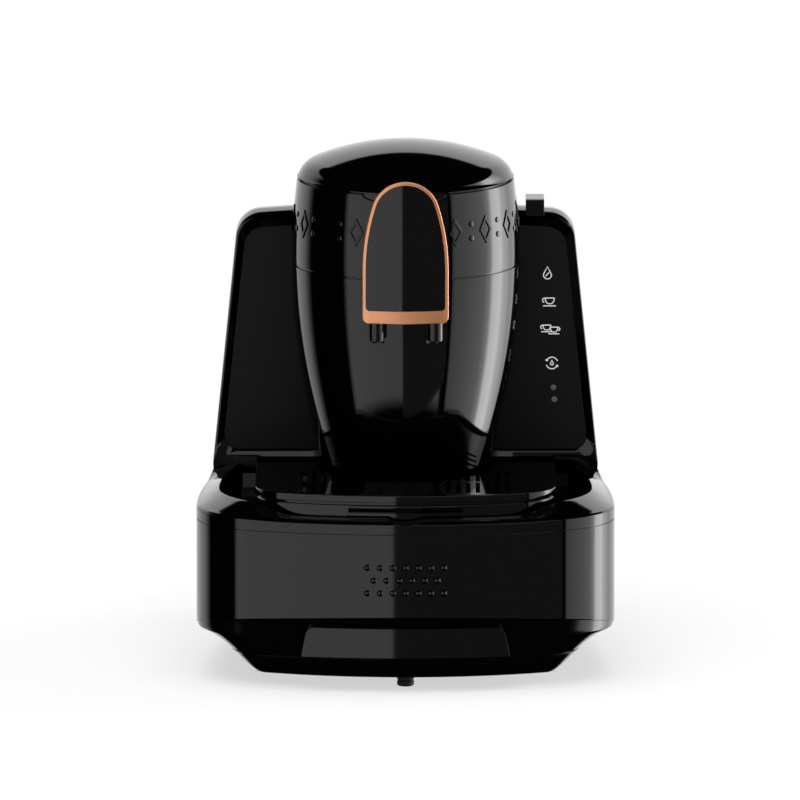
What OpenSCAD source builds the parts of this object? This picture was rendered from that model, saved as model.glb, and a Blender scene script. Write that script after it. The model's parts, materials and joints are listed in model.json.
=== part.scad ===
// Electric turkish coffee maker: base with drip tray, barrel head with a tilting pot,
// two-winged tower with touch panel, and a water tank behind it.
// Millimetres. +Z up, front towards -Y, +X to the right as seen from the front.
// Origin at the bottom centre of the whole machine.

/* [Base] */
// Width of the base at its widest
base_w = 220; // [200:1:240]
// Depth of the base, front to back
base_d = 263; // [245:1:280]
// Radius of the front wall in plan
front_r = 250; // [200:5:320]
// Radius of the front corners in plan
corner_r = 44; // [30:1:55]
// Radius of the long side walls in plan
side_r = 500; // [400:10:700]
// Radius of the rear corners in plan
rear_corner_r = 45; // [30:1:55]
// Radius of the rear wall in plan
rear_r = 300; // [250:5:400]
// Wall of the gloss housing
wall = 2.6; // [1.8:0.1:3.5]
// Height of the seam between housing and deck
seam_z = 84.5; // [78:0.5:92]
// Height of the housing's lower edge at the front
front_edge_z = 40; // [34:0.5:46]
// Height of the housing's lower edge along the sides
side_edge_z = 25; // [20:0.5:30]
// How far behind the front wall the rising lower edge begins
edge_run = 71; // [50:1:90]
// Height of the feet
foot_h = 6; // [4:0.5:9]
// Inset of the chin at its foot, at the front
chin_in = 11.5; // [6:0.5:16]
// Half width of the flat underside
belly_hw = 79; // [65:1:88]

/* [Pips] */
// Distance between neighbouring pips in a row
pip_pitch = 6.7; // [5:0.1:8]
// Distance between rows of pips
pip_row = 6.75; // [5:0.1:8]
// Diameter of a pip
pip_d = 3.4; // [2:0.1:4]
// How far a pip stands proud
pip_h = 0.5; // [0.3:0.1:1]
// Height of the middle row of pips
pip_z = 60.2; // [55:0.1:66]

/* [Deck] */
// Height of the deck's rim above the seam
deck_h = 7; // [5:0.5:10]
// Width of the rim round the well
rim_w = 12; // [9:0.5:16]
// Depth of the well below the rim
well_h = 4; // [2:0.5:5]
// Rounding of the rim's outer edge
rim_r = 3; // [1:0.5:4]

/* [Tray] */
// Half width of the tray
tray_hw = 79; // [70:1:86]
// Distance of the tray's front from the middle
tray_front = 109; // [104:1:114]
// Radius of the tray's front in plan
tray_front_r = 210; // [160:5:260]
// Radius of the tray's corners in plan
tray_corner_r = 24; // [14:1:30]
// Height of the tray's body
tray_h = 8.2; // [6:0.2:12]
// Wall of the tray
tray_wall = 2.4; // [1.8:0.1:3]
// Thickness of the grille with its skirt
grille_t = 3.8; // [3:0.1:5]
// Shadow gap between tray and grille
grille_gap = 1.5; // [1:0.1:2.5]
// Room round the barrel, so that the tray slides out past its bulge
tray_room = 5.2; // [5:0.1:6]
// Distance between the grille's slots
slot_pitch = 5.1; // [4:0.1:6]
// Width of a slot
slot_w = 2.3; // [1.5:0.1:3]
// Number of slots under each cup
slot_count = 7; // [3:1:9]
// Distance of each cup from the middle
cup_x = 38; // [34:0.5:42]

/* [Barrel] */
// Distance of the barrel's axis from the middle, towards the front
head_y = 18; // [12:1:24]
// Largest radius of the barrel, at its lower seam
head_r = 60; // [54:0.5:66]
// Radius of the barrel's bulging profile
bulge_r = 353; // [300:1:420]
// Height of the lower seam
low_seam_z = 211; // [204:0.5:218]
// Height of the head ring
ring_h = 45; // [40:0.5:50]
// Wall of the barrel
barrel_wall = 2.6; // [2:0.1:3.5]
// Height of the dark line at each seam
seam_gap = 0.6; // [0.3:0.1:1]

/* [Ornament] */
// Height of the ornament band's middle above the lower seam
band_z = 24; // [18:0.5:30]
// Height of one lozenge
lozenge_h = 15; // [10:0.5:18]
// Width of one lozenge
lozenge_w = 9; // [6:0.5:12]
// Line width of the ornament
line_w = 1.5; // [1:0.1:2.5]
// How far the ornament stands proud
relief = 0.6; // [0.3:0.1:1]

/* [Lid] */
// Height of the lid above the upper seam
lid_h = 21; // [17:0.5:26]
// Radius of the lid's crown
crown_r = 130; // [100:5:180]
// Radius of the lid's shoulder
shoulder_r = 13; // [8:0.5:16]
// Wall of the lid
lid_wall = 2.4; // [1.8:0.1:3.2]
// Radius of the lid's hinge pin
hinge_pin_r = 2; // [1.5:0.1:2.5]

/* [Nose] */
// Half width of the nose
nose_hw = 22.6; // [20:0.2:26]
// Lower edge of the nose above the deck's rim
nose_low = 97; // [92:0.5:102]
// Height of the nose
nose_h = 75.4; // [68:0.2:80]
// Radius of the nose's arched top
arch_r = 18; // [15:0.5:20]
// Height at which the nose starts to narrow, above its lower edge
arch_start = 27.6; // [20:0.2:34]
// How far the nose's face lies outside the barrel's largest radius
nose_out = 4.5; // [3.5:0.1:7]
// Width of the copper frame at its sides
frame_w = 1.8; // [1.2:0.1:3]
// Height of the copper frame's lower bar
bar_h = 6.6; // [4:0.2:9]
// How far the copper frame stands proud of the nose's face
frame_t = 1.7; // [1:0.1:2.5]
// Distance of each spout from the middle
spout_x = 15.3; // [12:0.1:17]
// Outer radius of a spout
spout_r = 4.3; // [3.5:0.1:4.6]
// Bore radius of a spout
spout_bore = 2.8; // [2:0.1:3.2]
// Length of a spout below the nose
spout_l = 9.8; // [6:0.2:14]

/* [Tower] */
// Distance of the tower's front from the middle, towards the back
tower_y = 12; // [8:1:16]
// Depth of the tower
tower_d = 37.5; // [34:0.5:42]
// Height of the tower's crown
tower_z = 235; // [228:1:242]
// Radius of the tower's crown
tower_top_r = 490; // [400:10:600]
// How far the tower's foot stands inside the base's width
tower_in = 7.7; // [6:0.1:14]
// Lean of the tower's sides, sideways per height
tower_lean = 0.1; // [0.06:0.01:0.14]
// Rounding of the tower's upper corners
tower_corner_r = 9; // [6:0.5:14]
// Width of the tower's rim round the panels
rim_side = 4.6; // [3:0.1:7]
// Lower edge of the panels above the deck's rim
panel_low = 13; // [8:0.5:18]
// Depth of the panels below the rim
panel_in = 2; // [1:0.1:3]
// Thickness of a panel
panel_t = 2; // [1.5:0.1:3]

/* [Tank] */
// Distance of the tank's rear from the base's rear edge
tank_rear = 5.3; // [4:0.1:20]
// Gap between the tower and the tank
tank_gap = 0.7; // [0.5:0.1:2]
// Wall of the water tank
tank_wall = 2.2; // [1.6:0.1:3]
// Height of the water tank
tank_h = 122; // [115:1:124]
// Thickness of the tank's lid
tank_lid_t = 3; // [2:0.2:4]
// Distance of the lid's tab from the middle
tab_x = 68.3; // [60:0.1:75]
// Width of the lid's tab
tab_w = 9.8; // [7:0.1:14]
// Bore radius of the tank's foot valve
valve_r = 5; // [4:0.1:6]

/* [Pot] */
// Outer radius of the pot
pot_r = 28; // [24:0.5:29]
// Height of the pot
pot_h = 46; // [38:1:47]
// Wall of the pot
pot_wall = 1.6; // [1:0.1:2.5]
// Height of the tilt axis above the lower seam
axis_up = 20; // [18:0.5:21]
// Radius of the trunnions
trunnion_r = 4; // [3:0.1:5]
// Running clearance of trunnions, pins and shafts
run_gap = 0.05; // [0.02:0.01:0.1]
// Tooth module of the tilt gears
gear_m = 1; // [0.8:0.1:1.1]
// Teeth of the full circle that the sector is part of
sector_teeth = 72; // [60:1:74]
// Teeth of the pinion
pinion_teeth = 12; // [10:1:14]
// Backlash of each tooth flank
backlash = 0.2; // [0.15:0.01:0.3]
// Width of a tooth's tip as a share of its width at the pitch circle
tip_share = 0.45; // [0.3:0.05:0.6]
// Thickness of the gears
gear_t = 4; // [3:0.5:5]
// Thickness of the bearing brackets
bracket_t = 2.5; // [2:0.1:3]
// Radius of the tilt motor
motor_r = 12; // [9:0.5:13]

/* [Inside] */
// Radius of the hoses
hose_r = 4; // [3:0.5:5]
// Bore radius of the hoses
hose_bore = 2.5; // [1.5:0.5:3]
// Radius of the pump
pump_r = 18; // [14:1:22]
// Length of the pump's body
pump_l = 62; // [50:1:70]
// Radius of a base screw's shank
screw_r = 1.75; // [1.5:0.05:2.5]
// Clearance between parts that come apart
gap = 0.3; // [0.3:0.05:0.5]

/* [Hidden] */
$fn = 64;
big_fn = 360;
eps = 0.01;
far = 400;

gloss = "#141414";
satin = "#1c1c1c";
matt = "#2a2a2a";
copper = "#c98255";
steel = "#b9bcc0";
smoked = "#3a3d40";
board_green = "#1f5a3a";
rubber = "#202020";

head = [0, -head_y, 0];
rim_z = seam_z + deck_h;
well_z = rim_z - well_h;

// Plan of the base: front arc, corner, side, rear corner and rear arc, tangent to each other
c_front = [0, -base_d / 2 + front_r];
c_corner = [base_w / 2 - corner_r,
            c_front[1] - sqrt(pow(front_r - corner_r, 2) - pow(base_w / 2 - corner_r, 2))];
c_side = [base_w / 2 - side_r, c_corner[1]];
c_rear = [0, base_d / 2 - rear_r];
c_heel = meet(c_side, side_r - rear_corner_r, c_rear, rear_r - rear_corner_r);

function unit(v) = v / norm(v);
// Crossing of two circles, on the right-hand side of the line from p to q
function meet(p, r, q, s) =
    let (d = norm(q - p), u = (q - p) / d, a = (r * r - s * s + d * d) / (2 * d),
         h = sqrt(r * r - a * a), n = [-u[1], u[0]],
         m = p + a * u, one = m + h * n, two = m - h * n)
    one[1] > two[1] ? one : two;
// Radius of the barrel at height z
function barrel(z) = head_r - bulge_r + sqrt(bulge_r * bulge_r - pow(z - low_seam_z, 2));
// Front wall's depth at sideways place x
function front_at(x, r = front_r) = c_front[1] - sqrt(r * r - x * x);
function turn_to(v) = atan2(v[1], v[0]);

// A round stretch that fills the wedge between two directions outside a circle
module corner_cut(c, from, to, r) {
    difference() {
        polygon([c, c + far * from, c + far * (from + to), c + far * to]);
        translate(c) circle(r, $fn = big_fn);
    }
}

module plan2d(inset = 0) {
    difference() {
        intersection() {
            translate(c_front) circle(front_r - inset, $fn = big_fn);
            translate(c_rear) circle(rear_r - inset, $fn = big_fn);
            translate(c_side) circle(side_r - inset, $fn = big_fn);
            mirror([1, 0]) translate(c_side) circle(side_r - inset, $fn = big_fn);
        }
        for (s = [0, 1]) mirror([s, 0]) {
            corner_cut(c_corner, unit(c_corner - c_front), [1, 0], corner_r - inset);
            corner_cut(c_heel, unit(c_heel - c_side), unit(c_heel - c_rear), rear_corner_r - inset);
        }
    }
}

module slab(inset, z0, z1) {
    translate([0, 0, z0]) linear_extrude(z1 - z0) plan2d(inset);
}

// Outline drawn in the XZ plane, reaching from y0 back to y1
module xz(y0, y1) {
    translate([0, y1, 0]) rotate([90, 0, 0]) linear_extrude(y1 - y0) children();
}

// Outline drawn in the YZ plane, reaching from x0 to x1
module yz(x0, x1) {
    translate([x0, 0, 0]) rotate([90, 0, 90]) linear_extrude(x1 - x0) children();
}

module rod(p, r, l, along = "z") {
    translate(p) rotate(along == "x" ? [0, 90, 0] : along == "y" ? [-90, 0, 0] : [0, 0, 0])
        cylinder(h = l, r = r);
}

module block(lo, hi) {
    translate(lo) cube(hi - lo);
}

// Polygon with its corners rounded to r
function rounded(p, r, steps = 6) = [
    for (i = [0 : len(p) - 1])
        let (a = p[(i + len(p) - 1) % len(p)], b = p[i], c = p[(i + 1) % len(p)],
             u = unit(a - b), v = unit(c - b), half = acos(u * v) / 2,
             m = b + unit(u + v) * r / sin(half),
             from = turn_to(b + u * r / tan(half) - m), to = turn_to(b + v * r / tan(half) - m),
             sweep = (to - from + 540) % 360 - 180)
        for (k = [0 : steps]) m + r * [cos(from + sweep * k / steps), sin(from + sweep * k / steps)]
];

// ---- base ----

// Everything below the housing's rising lower edge
module below_edge() {
    slope = (front_edge_z - side_edge_z) / edge_run;
    yz(-far, far) polygon([[-base_d / 2 - 20, front_edge_z + 20 * slope],
                           [-base_d / 2 + edge_run, side_edge_z],
                           [base_d, side_edge_z], [base_d, -50], [-base_d / 2 - 20, -50]]);
}

module pip() {
    dome = (pip_d * pip_d / 4 + pip_h * pip_h) / (2 * pip_h);
    rotate_extrude() intersection() {
        translate([0, pip_h - dome]) circle(dome, $fn = 96);
        translate([0, -1]) square([pip_d / 2 + 0.2, pip_h + 2]);
    }
}

module pips() {
    for (row = [-1 : 1]) {
        count = row == 0 ? 6 : 7;
        for (i = [0 : count - 1]) {
            x = (i - (count - 1) / 2) * pip_pitch;
            lean = asin(x / front_r);
            translate([x, front_at(x), pip_z + row * pip_row]) rotate([90, 0, lean]) pip();
        }
    }
}

boss_x = [base_w / 2 - 48, base_w / 2 - 50];
boss_y = [53.5 - base_d / 2, base_d / 2 - 55.5];
boss_at = [for (i = [0, 1]) for (s = [1, -1]) [s * boss_x[i], boss_y[i]]];
boss_r = 4.5;
switch_w = 21;
switch_h = 15;
switch_x = base_w / 2 - 74;
switch_z = 48;
gland_x = 70 - base_w / 2;
gland_r = 6;
back_at = base_d / 2;

module base_housing() {
    color(gloss) {
        difference() {
            slab(0, side_edge_z, seam_z);
            slab(wall, side_edge_z - 1, seam_z + 1);
            below_edge();
            translate([switch_x, back_at, switch_z]) cube([switch_w, 40, switch_h], center = true);
            rod([gland_x, back_at - 20, switch_z], gland_r, 40, "y");
        }
        intersection() {
            pips();
            difference() {
                slab(-pip_h - 1, 40, seam_z);
                slab(wall / 2, 39, seam_z + 1);
            }
        }
    }
}

module tub_form(t) {
    bevel_top = side_edge_z + eps;
    intersection() {
        slab(wall / 5 + t, foot_h + t, front_edge_z + 8);
        xz(-far, far) polygon([[base_w / 2 - t, far], [base_w / 2 - t, bevel_top + t / 2],
            [base_w / 2 - 19 - t * 0.8, 10 + t * 0.8], [belly_hw - t * 0.8, foot_h + t],
            [-belly_hw + t * 0.8, foot_h + t], [-base_w / 2 + 19 + t * 0.8, 10 + t * 0.8],
            [-base_w / 2 + t, bevel_top + t / 2], [-base_w / 2 + t, far]]);
        translate([c_front[0], c_front[1], foot_h])
            cylinder(h = front_edge_z - foot_h, r1 = front_r - chin_in - t,
                     r2 = front_r - 1 - t, $fn = big_fn);
    }
}

pad_top = 34;
pad_low = 19;
pad_hw = 52;
vent_w = 3;

module bottom_tub() {
    color(satin) {
        difference() {
            union() {
                difference() {
                    intersection() {
                        tub_form(0);
                        below_edge();
                    }
                    tub_form(wall);
                }
                intersection() {
                    xz(-far, 0) polygon(rounded([[-pad_hw, pad_top], [pad_hw, pad_top],
                        [pad_hw + 2, pad_low], [-pad_hw - 2, pad_low]], 3.5));
                    difference() {
                        translate([0, c_front[1], 0]) cylinder(h = 60, r = front_r - 1.2, $fn = big_fn);
                        translate([0, c_front[1], -1])
                            cylinder(h = 62, r = front_r - chin_in - wall / 2, $fn = big_fn);
                    }
                }
                for (p = boss_at) rod([p[0], p[1], foot_h + wall / 2], boss_r, 24);
            }
            for (p = boss_at) {
                rod([p[0], p[1], 0], screw_r + 0.25, 60);
                rod([p[0], p[1], 0], 3.6, foot_h + 4);
            }
            for (i = [-4 : 4]) block([i * 8 - vent_w / 2, 30, 0], [i * 8 + vent_w / 2, 62, foot_h + wall + 1]);
        }
    }
}

foot_r = 7;
foot_front = base_d / 2 - 24.5;
foot_small_r = 4.5;
foot_side = [base_w / 2 - 35.5, base_d / 2 - 67.5];
foot_back = [base_w / 2 - 48, base_d / 2 - 35.5];

module foot(x, y, r) {
    translate([x, y, 0]) {
        cylinder(h = 1.2, r1 = r - 0.8, r2 = r);
        translate([0, 0, 1.2]) cylinder(h = foot_h - 1.2, r = r);
    }
}

module front_foot() {
    color(rubber) foot(0, -foot_front, foot_small_r);
}

module side_feet() {
    color(rubber) for (s = [-1, 1]) {
        foot(s * foot_side[0], -foot_side[1], foot_small_r);
        foot(s * foot_back[0], foot_back[1], foot_r);
    }
}

module base_screws() {
    color(steel) for (p = boss_at) {
        rod([p[0], p[1], foot_h + 1.8], 3.3, 2.2);
        rod([p[0], p[1], foot_h + 4], screw_r, 22);
    }
}

// ---- deck, tray and grille ----

notch_r = 14;
notch_deep = 2.5;
column_bore = 30;
socket_r = 11;

// Right half of the plan's outline as points, from the front middle to the rear middle
function plan_half(inset) =
    let (a = turn_to(c_corner - c_front), b = turn_to(c_heel - c_side), c = turn_to(c_heel - c_rear))
    concat(arc(c_front, front_r - inset, -90, a, 12), tail(arc(c_corner, corner_r - inset, a, 0, 8)),
           tail(arc(c_side, side_r - inset, 0, b, 8)), tail(arc(c_heel, rear_corner_r - inset, b, c, 7)),
           tail(arc(c_rear, rear_r - inset, c, 90, 8)));
function tail(p) = [for (i = [1 : len(p) - 1]) p[i]];
function plan_ring(inset, z) = let (h = plan_half(inset))
    [for (q = concat(h, [for (i = [len(h) - 2 : -1 : 1]) [-h[i][0], h[i][1]]])) [q[0], q[1], z]];

// Solid through a stack of plan outlines, each given as its inset and its height
module plan_stack(levels) {
    n = len(plan_ring(0, 0));
    faces = [for (l = [0 : len(levels) - 2]) for (k = [0 : n - 1])
        let (m = (k + 1) % n, a = l * n) [a + k, a + n + k, a + n + m, a + m]];
    polyhedron([for (v = levels) each plan_ring(v[0], v[1])],
        concat(faces, [[for (k = [0 : n - 1]) k]],
               [[for (k = [n - 1 : -1 : 0]) (len(levels) - 1) * n + k]]));
}

// The deck's block, with the seam's shadow groove and a rounded rim
module deck_block() {
    steps = 4;
    plan_stack(concat([[seam_gap, seam_z], [seam_gap, seam_z + seam_gap], [0, seam_z + seam_gap]],
        [for (k = [0 : steps]) [rim_r * (1 - cos(90 * k / steps)), rim_z - rim_r * (1 - sin(90 * k / steps))]]));
}

module deck() {
    color(gloss) difference() {
        deck_block();
        difference() {
            slab(rim_w, well_z, rim_z + 1);
            block([-far, tower_y, 0], [far, far, far]);
        }
        rod([0, -base_d / 2 - 1, rim_z + notch_r - notch_deep], notch_r, rim_w + 2, "y");
        translate(head) translate([0, 0, well_z]) cylinder(h = deck_h, r = barrel(rim_z) + gap, $fn = 128);
        difference() {
            slab(rim_w, seam_z - 1, rim_z - 3);
            block([-far, -far, 0], [far, tower_y + 3, far]);
        }
        translate(head) translate([0, 0, seam_z - 1]) cylinder(h = deck_h + 2, r = column_bore);
        rod([0, socket_y, seam_z - 1], socket_r, deck_h + 2);
    }
}

tray_base_z = well_z + gap;
grille_z = tray_base_z + tray_h + grille_gap;
tray_back = 6;

// Points of an arc, ends included
function arc(c, r, a0, a1, steps) =
    [for (k = [0 : steps]) c + r * [cos(a0 + (a1 - a0) * k / steps), sin(a0 + (a1 - a0) * k / steps)]];
function flip(p) = [for (i = [len(p) - 1 : -1 : 0]) [-p[i][0], p[i][1]]];

// Plan of the tray: arched front, rounded corners and straight sides
module tray2d(inset = 0) {
    c = [0, -tray_front + tray_front_r];
    cx = tray_hw - tray_corner_r;
    cc = [cx, c[1] - sqrt(pow(tray_front_r - tray_corner_r, 2) - cx * cx)];
    a = turn_to(cc - c);
    half = concat(arc(c, tray_front_r - inset, -90, a, 10),
                  [for (q = arc(cc, tray_corner_r - inset, a, 0, 10)) if (q != cc) q],
                  [[tray_hw - inset, -tray_back - inset]]);
    difference() {
        polygon(concat([for (k = [1 : len(half) - 1]) if (k != 11) half[k]],
                       [for (q = flip([for (k = [0 : len(half) - 1]) if (k != 11) half[k]])) q]));
        translate([0, -head_y]) circle(barrel(grille_z) + tray_room + inset, $fn = 128);
    }
}

module drip_tray() {
    notch_hw = 30;
    color(gloss) difference() {
        union() {
            translate([0, 0, tray_base_z]) linear_extrude(tray_h) tray2d(0);
            translate([0, 0, tray_base_z]) linear_extrude(tray_h + grille_gap) tray2d(2);
        }
        translate([0, 0, tray_base_z + tray_wall]) linear_extrude(tray_h + 4) tray2d(2 + tray_wall);
        intersection() {
            block([-notch_hw, -far, tray_base_z + 4], [notch_hw, 0, tray_base_z + 6.8]);
            translate([0, 0, tray_base_z]) linear_extrude(tray_h) difference() {
                tray2d(-5);
                tray2d(2.4);
            }
        }
    }
}

module cup_grille() {
    slot_y = [-99, -34];
    color(gloss) difference() {
        union() {
            translate([0, 0, grille_z]) linear_extrude(grille_t - 0.8) tray2d(0);
            translate([0, 0, grille_z]) linear_extrude(grille_t) tray2d(0.8);
        }
        translate([0, 0, grille_z - 1]) linear_extrude(grille_t - 1.4) difference() {
            tray2d(3);
            for (s = [-1, 1]) translate([s * 22, 0]) square([4, far], center = true);
        }
        for (s = [-1, 1]) for (i = [0 : slot_count - 1]) {
            x = s * cup_x + (i - (slot_count - 1) / 2) * slot_pitch;
            for (part = [0, 1]) {
                y = slot_y[0] + part * 34;
                block([x - slot_w / 2, y, grille_z - 1], [x + slot_w / 2, y + 30, grille_z + grille_t + 1]);
            }
        }
    }
}

// ---- barrel ----

// Section of the barrel's wall between two heights, from depth d0 to depth d1 below its surface
module barrel_section(z0, z1, d0 = 0, d1 = barrel_wall) {
    intersection() {
        translate([head_r - bulge_r, low_seam_z]) difference() {
            circle(bulge_r - d0, $fn = 1440);
            circle(bulge_r - d1, $fn = 1440);
        }
        translate([20, z0]) square([head_r, z1 - z0]);
    }
}

// Solid barrel, grown by g, to cut room for it
module barrel_room(z0, z1, g) {
    translate(head) rotate_extrude($fn = 128) intersection() {
        translate([head_r - bulge_r, low_seam_z]) circle(bulge_r + g, $fn = 1440);
        translate([0, z0]) square([head_r + g + 1, z1 - z0]);
    }
}

up_seam_z = low_seam_z + ring_h;
chassis_z = low_seam_z - 46;
chassis_t = 3;
port_hw = 19.5;
nose_z = rim_z + nose_low;
spout_y = -head_y - head_r - 0.7;
port_z = [nose_z - 1, nose_z + 16];

module column_shell() {
    ledge_in = barrel(chassis_z) - barrel_wall - 7;
    color(gloss) difference() {
        translate(head) rotate_extrude($fn = 192) {
            barrel_section(well_z, low_seam_z - seam_gap);
            barrel_section(low_seam_z - seam_gap - 1, low_seam_z, 0.9);
            translate([ledge_in, chassis_z - 3]) square([8, 3]);
            translate([barrel(well_z) - 8, well_z]) square([7, 3]);
        }
        block([-port_hw, -head_y - far, port_z[0]], [port_hw, -head_y - 30, port_z[1]]);
        for (s = [-1, 1]) rod([s * spout_x, spout_y, nose_z - spout_l - 2], spout_r + 1, spout_l + 3);
    }
}

module lozenge(w, h) {
    polygon([[w / 2, 0], [0, h / 2], [-w / 2, 0], [0, -h / 2]]);
}

module motif(i) {
    if (i % 2 == 0) difference() {
        lozenge(lozenge_w, lozenge_h);
        lozenge(lozenge_w - 2.4 * line_w, lozenge_h - 4 * line_w);
    } else for (z = [-1, 1]) translate([0, z * lozenge_h / 4]) circle(line_w, $fn = 24);
}

module ornament() {
    step = 9.6;
    intersection() {
        for (s = [0, 1]) mirror([s, 0, 0]) for (i = [0 : 6])
            rotate(26 + i * step) translate([0, 0, low_seam_z + band_z])
                xz(-head_r - 3, -head_r + 4) motif(i);
        rotate_extrude($fn = 192) barrel_section(low_seam_z + 2, up_seam_z - 2, -relief, 1);
    }
}

hinge = [head_r + 0.5 - head_y, up_seam_z + 1.6];
knuckle_r = 4;
lid_knuckle = 12;
ear_x = [12.3, 18];

module head_ring() {
    color(gloss) difference() {
        union() {
            translate(head) {
                rotate_extrude($fn = 192) {
                    barrel_section(low_seam_z, up_seam_z - seam_gap);
                    barrel_section(up_seam_z - seam_gap - 2, up_seam_z, 2.2, 4.6);
                }
                ornament();
            }
            for (s = [-1, 1]) {
                x0 = s > 0 ? ear_x[0] : -ear_x[1];
                yz(x0, x0 + ear_x[1] - ear_x[0]) {
                    translate(hinge) circle(knuckle_r);
                    polygon([[hinge[0] - 5, up_seam_z - 16], [hinge[0] - 2.5, up_seam_z - 16],
                             [hinge[0] + knuckle_r - 0.3, hinge[1] - 1.2], [hinge[0] - knuckle_r, hinge[1]],
                             [hinge[0] - 5, up_seam_z - 1]]);
                }
            }
        }
        rod([-30, hinge[0], hinge[1]], hinge_pin_r + run_gap, 60, "x");
    }
}

lid_z = up_seam_z + seam_gap;
lid_r = barrel(up_seam_z);
lid_top = up_seam_z + lid_h;

module lid_section(t = 0) {
    c = [0, lid_top - crown_r];
    cx = lid_r - shoulder_r;
    cs = [cx, c[1] + sqrt(pow(crown_r - shoulder_r, 2) - cx * cx)];
    intersection() {
        difference() {
            translate(c) circle(crown_r - t, $fn = 720);
            corner_cut(cs, unit(cs - c), [1, 0], shoulder_r - t);
        }
        translate([0, lid_z]) square([lid_r - t, lid_h]);
    }
}

spigot = lid_r - 8;

module lid() {
    color(gloss) difference() {
        union() {
            translate(head) rotate_extrude($fn = 192) {
                difference() {
                    lid_section(0);
                    lid_section(lid_wall);
                }
                translate([spigot, lid_z - 3.5]) square([2, 7]);
                translate([spigot, lid_z]) square([lid_r - spigot - lid_wall / 2, 2]);
                translate([0, lid_top - 5.2]) square([4, 4]);
            }
            yz(-lid_knuckle, lid_knuckle) {
                translate(hinge) circle(knuckle_r);
                polygon([[hinge[0], hinge[1] + knuckle_r], [hinge[0] - 7, hinge[1] + knuckle_r],
                         [hinge[0] - 4, hinge[1] - 0.6], [hinge[0], hinge[1] - knuckle_r]]);
            }
        }
        rod([-30, hinge[0], hinge[1]], hinge_pin_r + run_gap, 60, "x");
        translate(head) intersection() {
            xz(-far, -lid_r + 2) translate([0, lid_z - 40]) circle(43.5, $fn = 96);
            difference() {
                cylinder(h = far, r = far);
                translate([0, 0, -1]) cylinder(h = far + 2, r = lid_r - 1.6);
            }
        }
    }
}

module lid_liner() {
    color(matt) translate([0, -head_y, lid_top - 6.4]) cylinder(h = 1.2, r = 24);
}

module lid_seal() {
    color(rubber) translate(head) rotate_extrude($fn = 128)
        translate([spigot + 2, lid_z - 3]) square([0.8, 3]);
}

module hinge_pin() {
    color(steel) rod([-ear_x[1], hinge[0], hinge[1]], hinge_pin_r, 2 * ear_x[1], "x");
}

// ---- nose ----

face_r = head_r + nose_out;
shell_t = 2.4;

// Arched outline of the nose, drawn in XZ
module arch2d(inset = 0, low = 0) {
    top = nose_z + nose_h;
    top_c = [0, top - arch_r];
    z0 = nose_z + arch_start;
    dz = top_c[1] - z0;
    r = (nose_hw * nose_hw + dz * dz - arch_r * arch_r) / (2 * (nose_hw - arch_r));
    zt = z0 + r * dz / (r - arch_r);
    foot = 3 - min(inset, 1);
    translate(top_c) circle(arch_r - inset);
    intersection() {
        translate([nose_hw - r, z0]) circle(r - inset, $fn = big_fn);
        translate([r - nose_hw, z0]) circle(r - inset, $fn = big_fn);
        translate([-nose_hw, z0 - eps]) square([2 * nose_hw, zt - z0]);
    }
    translate([-nose_hw + inset, nose_z + low + foot])
        square([2 * (nose_hw - inset), arch_start - low - foot]);
    translate([-nose_hw + inset + foot, nose_z + low]) square([2 * (nose_hw - inset - foot), foot + 1]);
    for (s = [-1, 1]) translate([s * (nose_hw - inset - foot), nose_z + low + foot]) circle(foot);
}

// The plate's outline inside the copper frame
module plate2d(play = 0) {
    top_w = 3;
    intersection() {
        arch2d(frame_w + play, bar_h + play);
        translate([0, frame_w - top_w]) arch2d(frame_w + play, bar_h + play - top_w + frame_w);
    }
}

module nose_ring(r0, r1) {
    translate(head) difference() {
        translate([0, 0, nose_z - 5]) cylinder(h = nose_h + 10, r = r1, $fn = 192);
        translate([0, 0, nose_z - 6]) cylinder(h = nose_h + 12, r = r0, $fn = 192);
    }
}

channel_z = nose_z + 2.6;

module nose_body() {
    y0 = -head_y - face_r - 5;
    color(gloss) difference() {
        intersection() {
            xz(y0, -head_y - 40) arch2d(0);
            nose_ring(40, face_r);
        }
        barrel_room(nose_z - 10, up_seam_z + eps, gap);
        translate(head) translate([0, 0, up_seam_z]) cylinder(h = 40, r = lid_r + gap, $fn = 128);
        intersection() {
            xz(y0, -head_y - 40) arch2d(shell_t, 8);
            nose_ring(40, face_r - shell_t);
        }
        for (s = [-1, 1]) {
            rod([s * spout_x, spout_y, nose_z - 1], spout_bore, 20);
            block([s * spout_x - spout_bore, spout_y, channel_z],
                  [s * spout_x + spout_bore, spout_y + 20, nose_z + 9]);
        }
    }
}

module nose_trim() {
    color(copper) intersection() {
        xz(-head_y - face_r - 5, -head_y - 40) difference() {
            arch2d(0);
            plate2d();
        }
        nose_ring(face_r, face_r + frame_t);
    }
}

module nose_plate() {
    color(gloss) intersection() {
        xz(-head_y - face_r - 5, -head_y - 40) plate2d();
        nose_ring(face_r, face_r + frame_t - 0.5);
    }
}

module spout(s) {
    color(gloss) translate([s * spout_x, spout_y, nose_z - spout_l]) difference() {
        cylinder(h = spout_l, r = spout_r);
        translate([0, 0, -1]) cylinder(h = spout_l + 2, r = spout_bore);
        translate([0, 0, -eps]) cylinder(h = 1.2, r1 = spout_r - 0.5, r2 = spout_bore);
    }
}

module left_spout() { spout(-1); }
module right_spout() { spout(1); }

chute_back = -36;

chute_rise = 2.6;
chute_floor = channel_z - 1.4;

module chute_channel(x0, x1) {
    front = -head_y - face_r;
    yz(x0, x1) polygon([[front, channel_z], [chute_back - 1.4, channel_z + chute_rise],
                        [chute_back - 1.4, channel_z + 20], [front, channel_z + 20]]);
}

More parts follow.
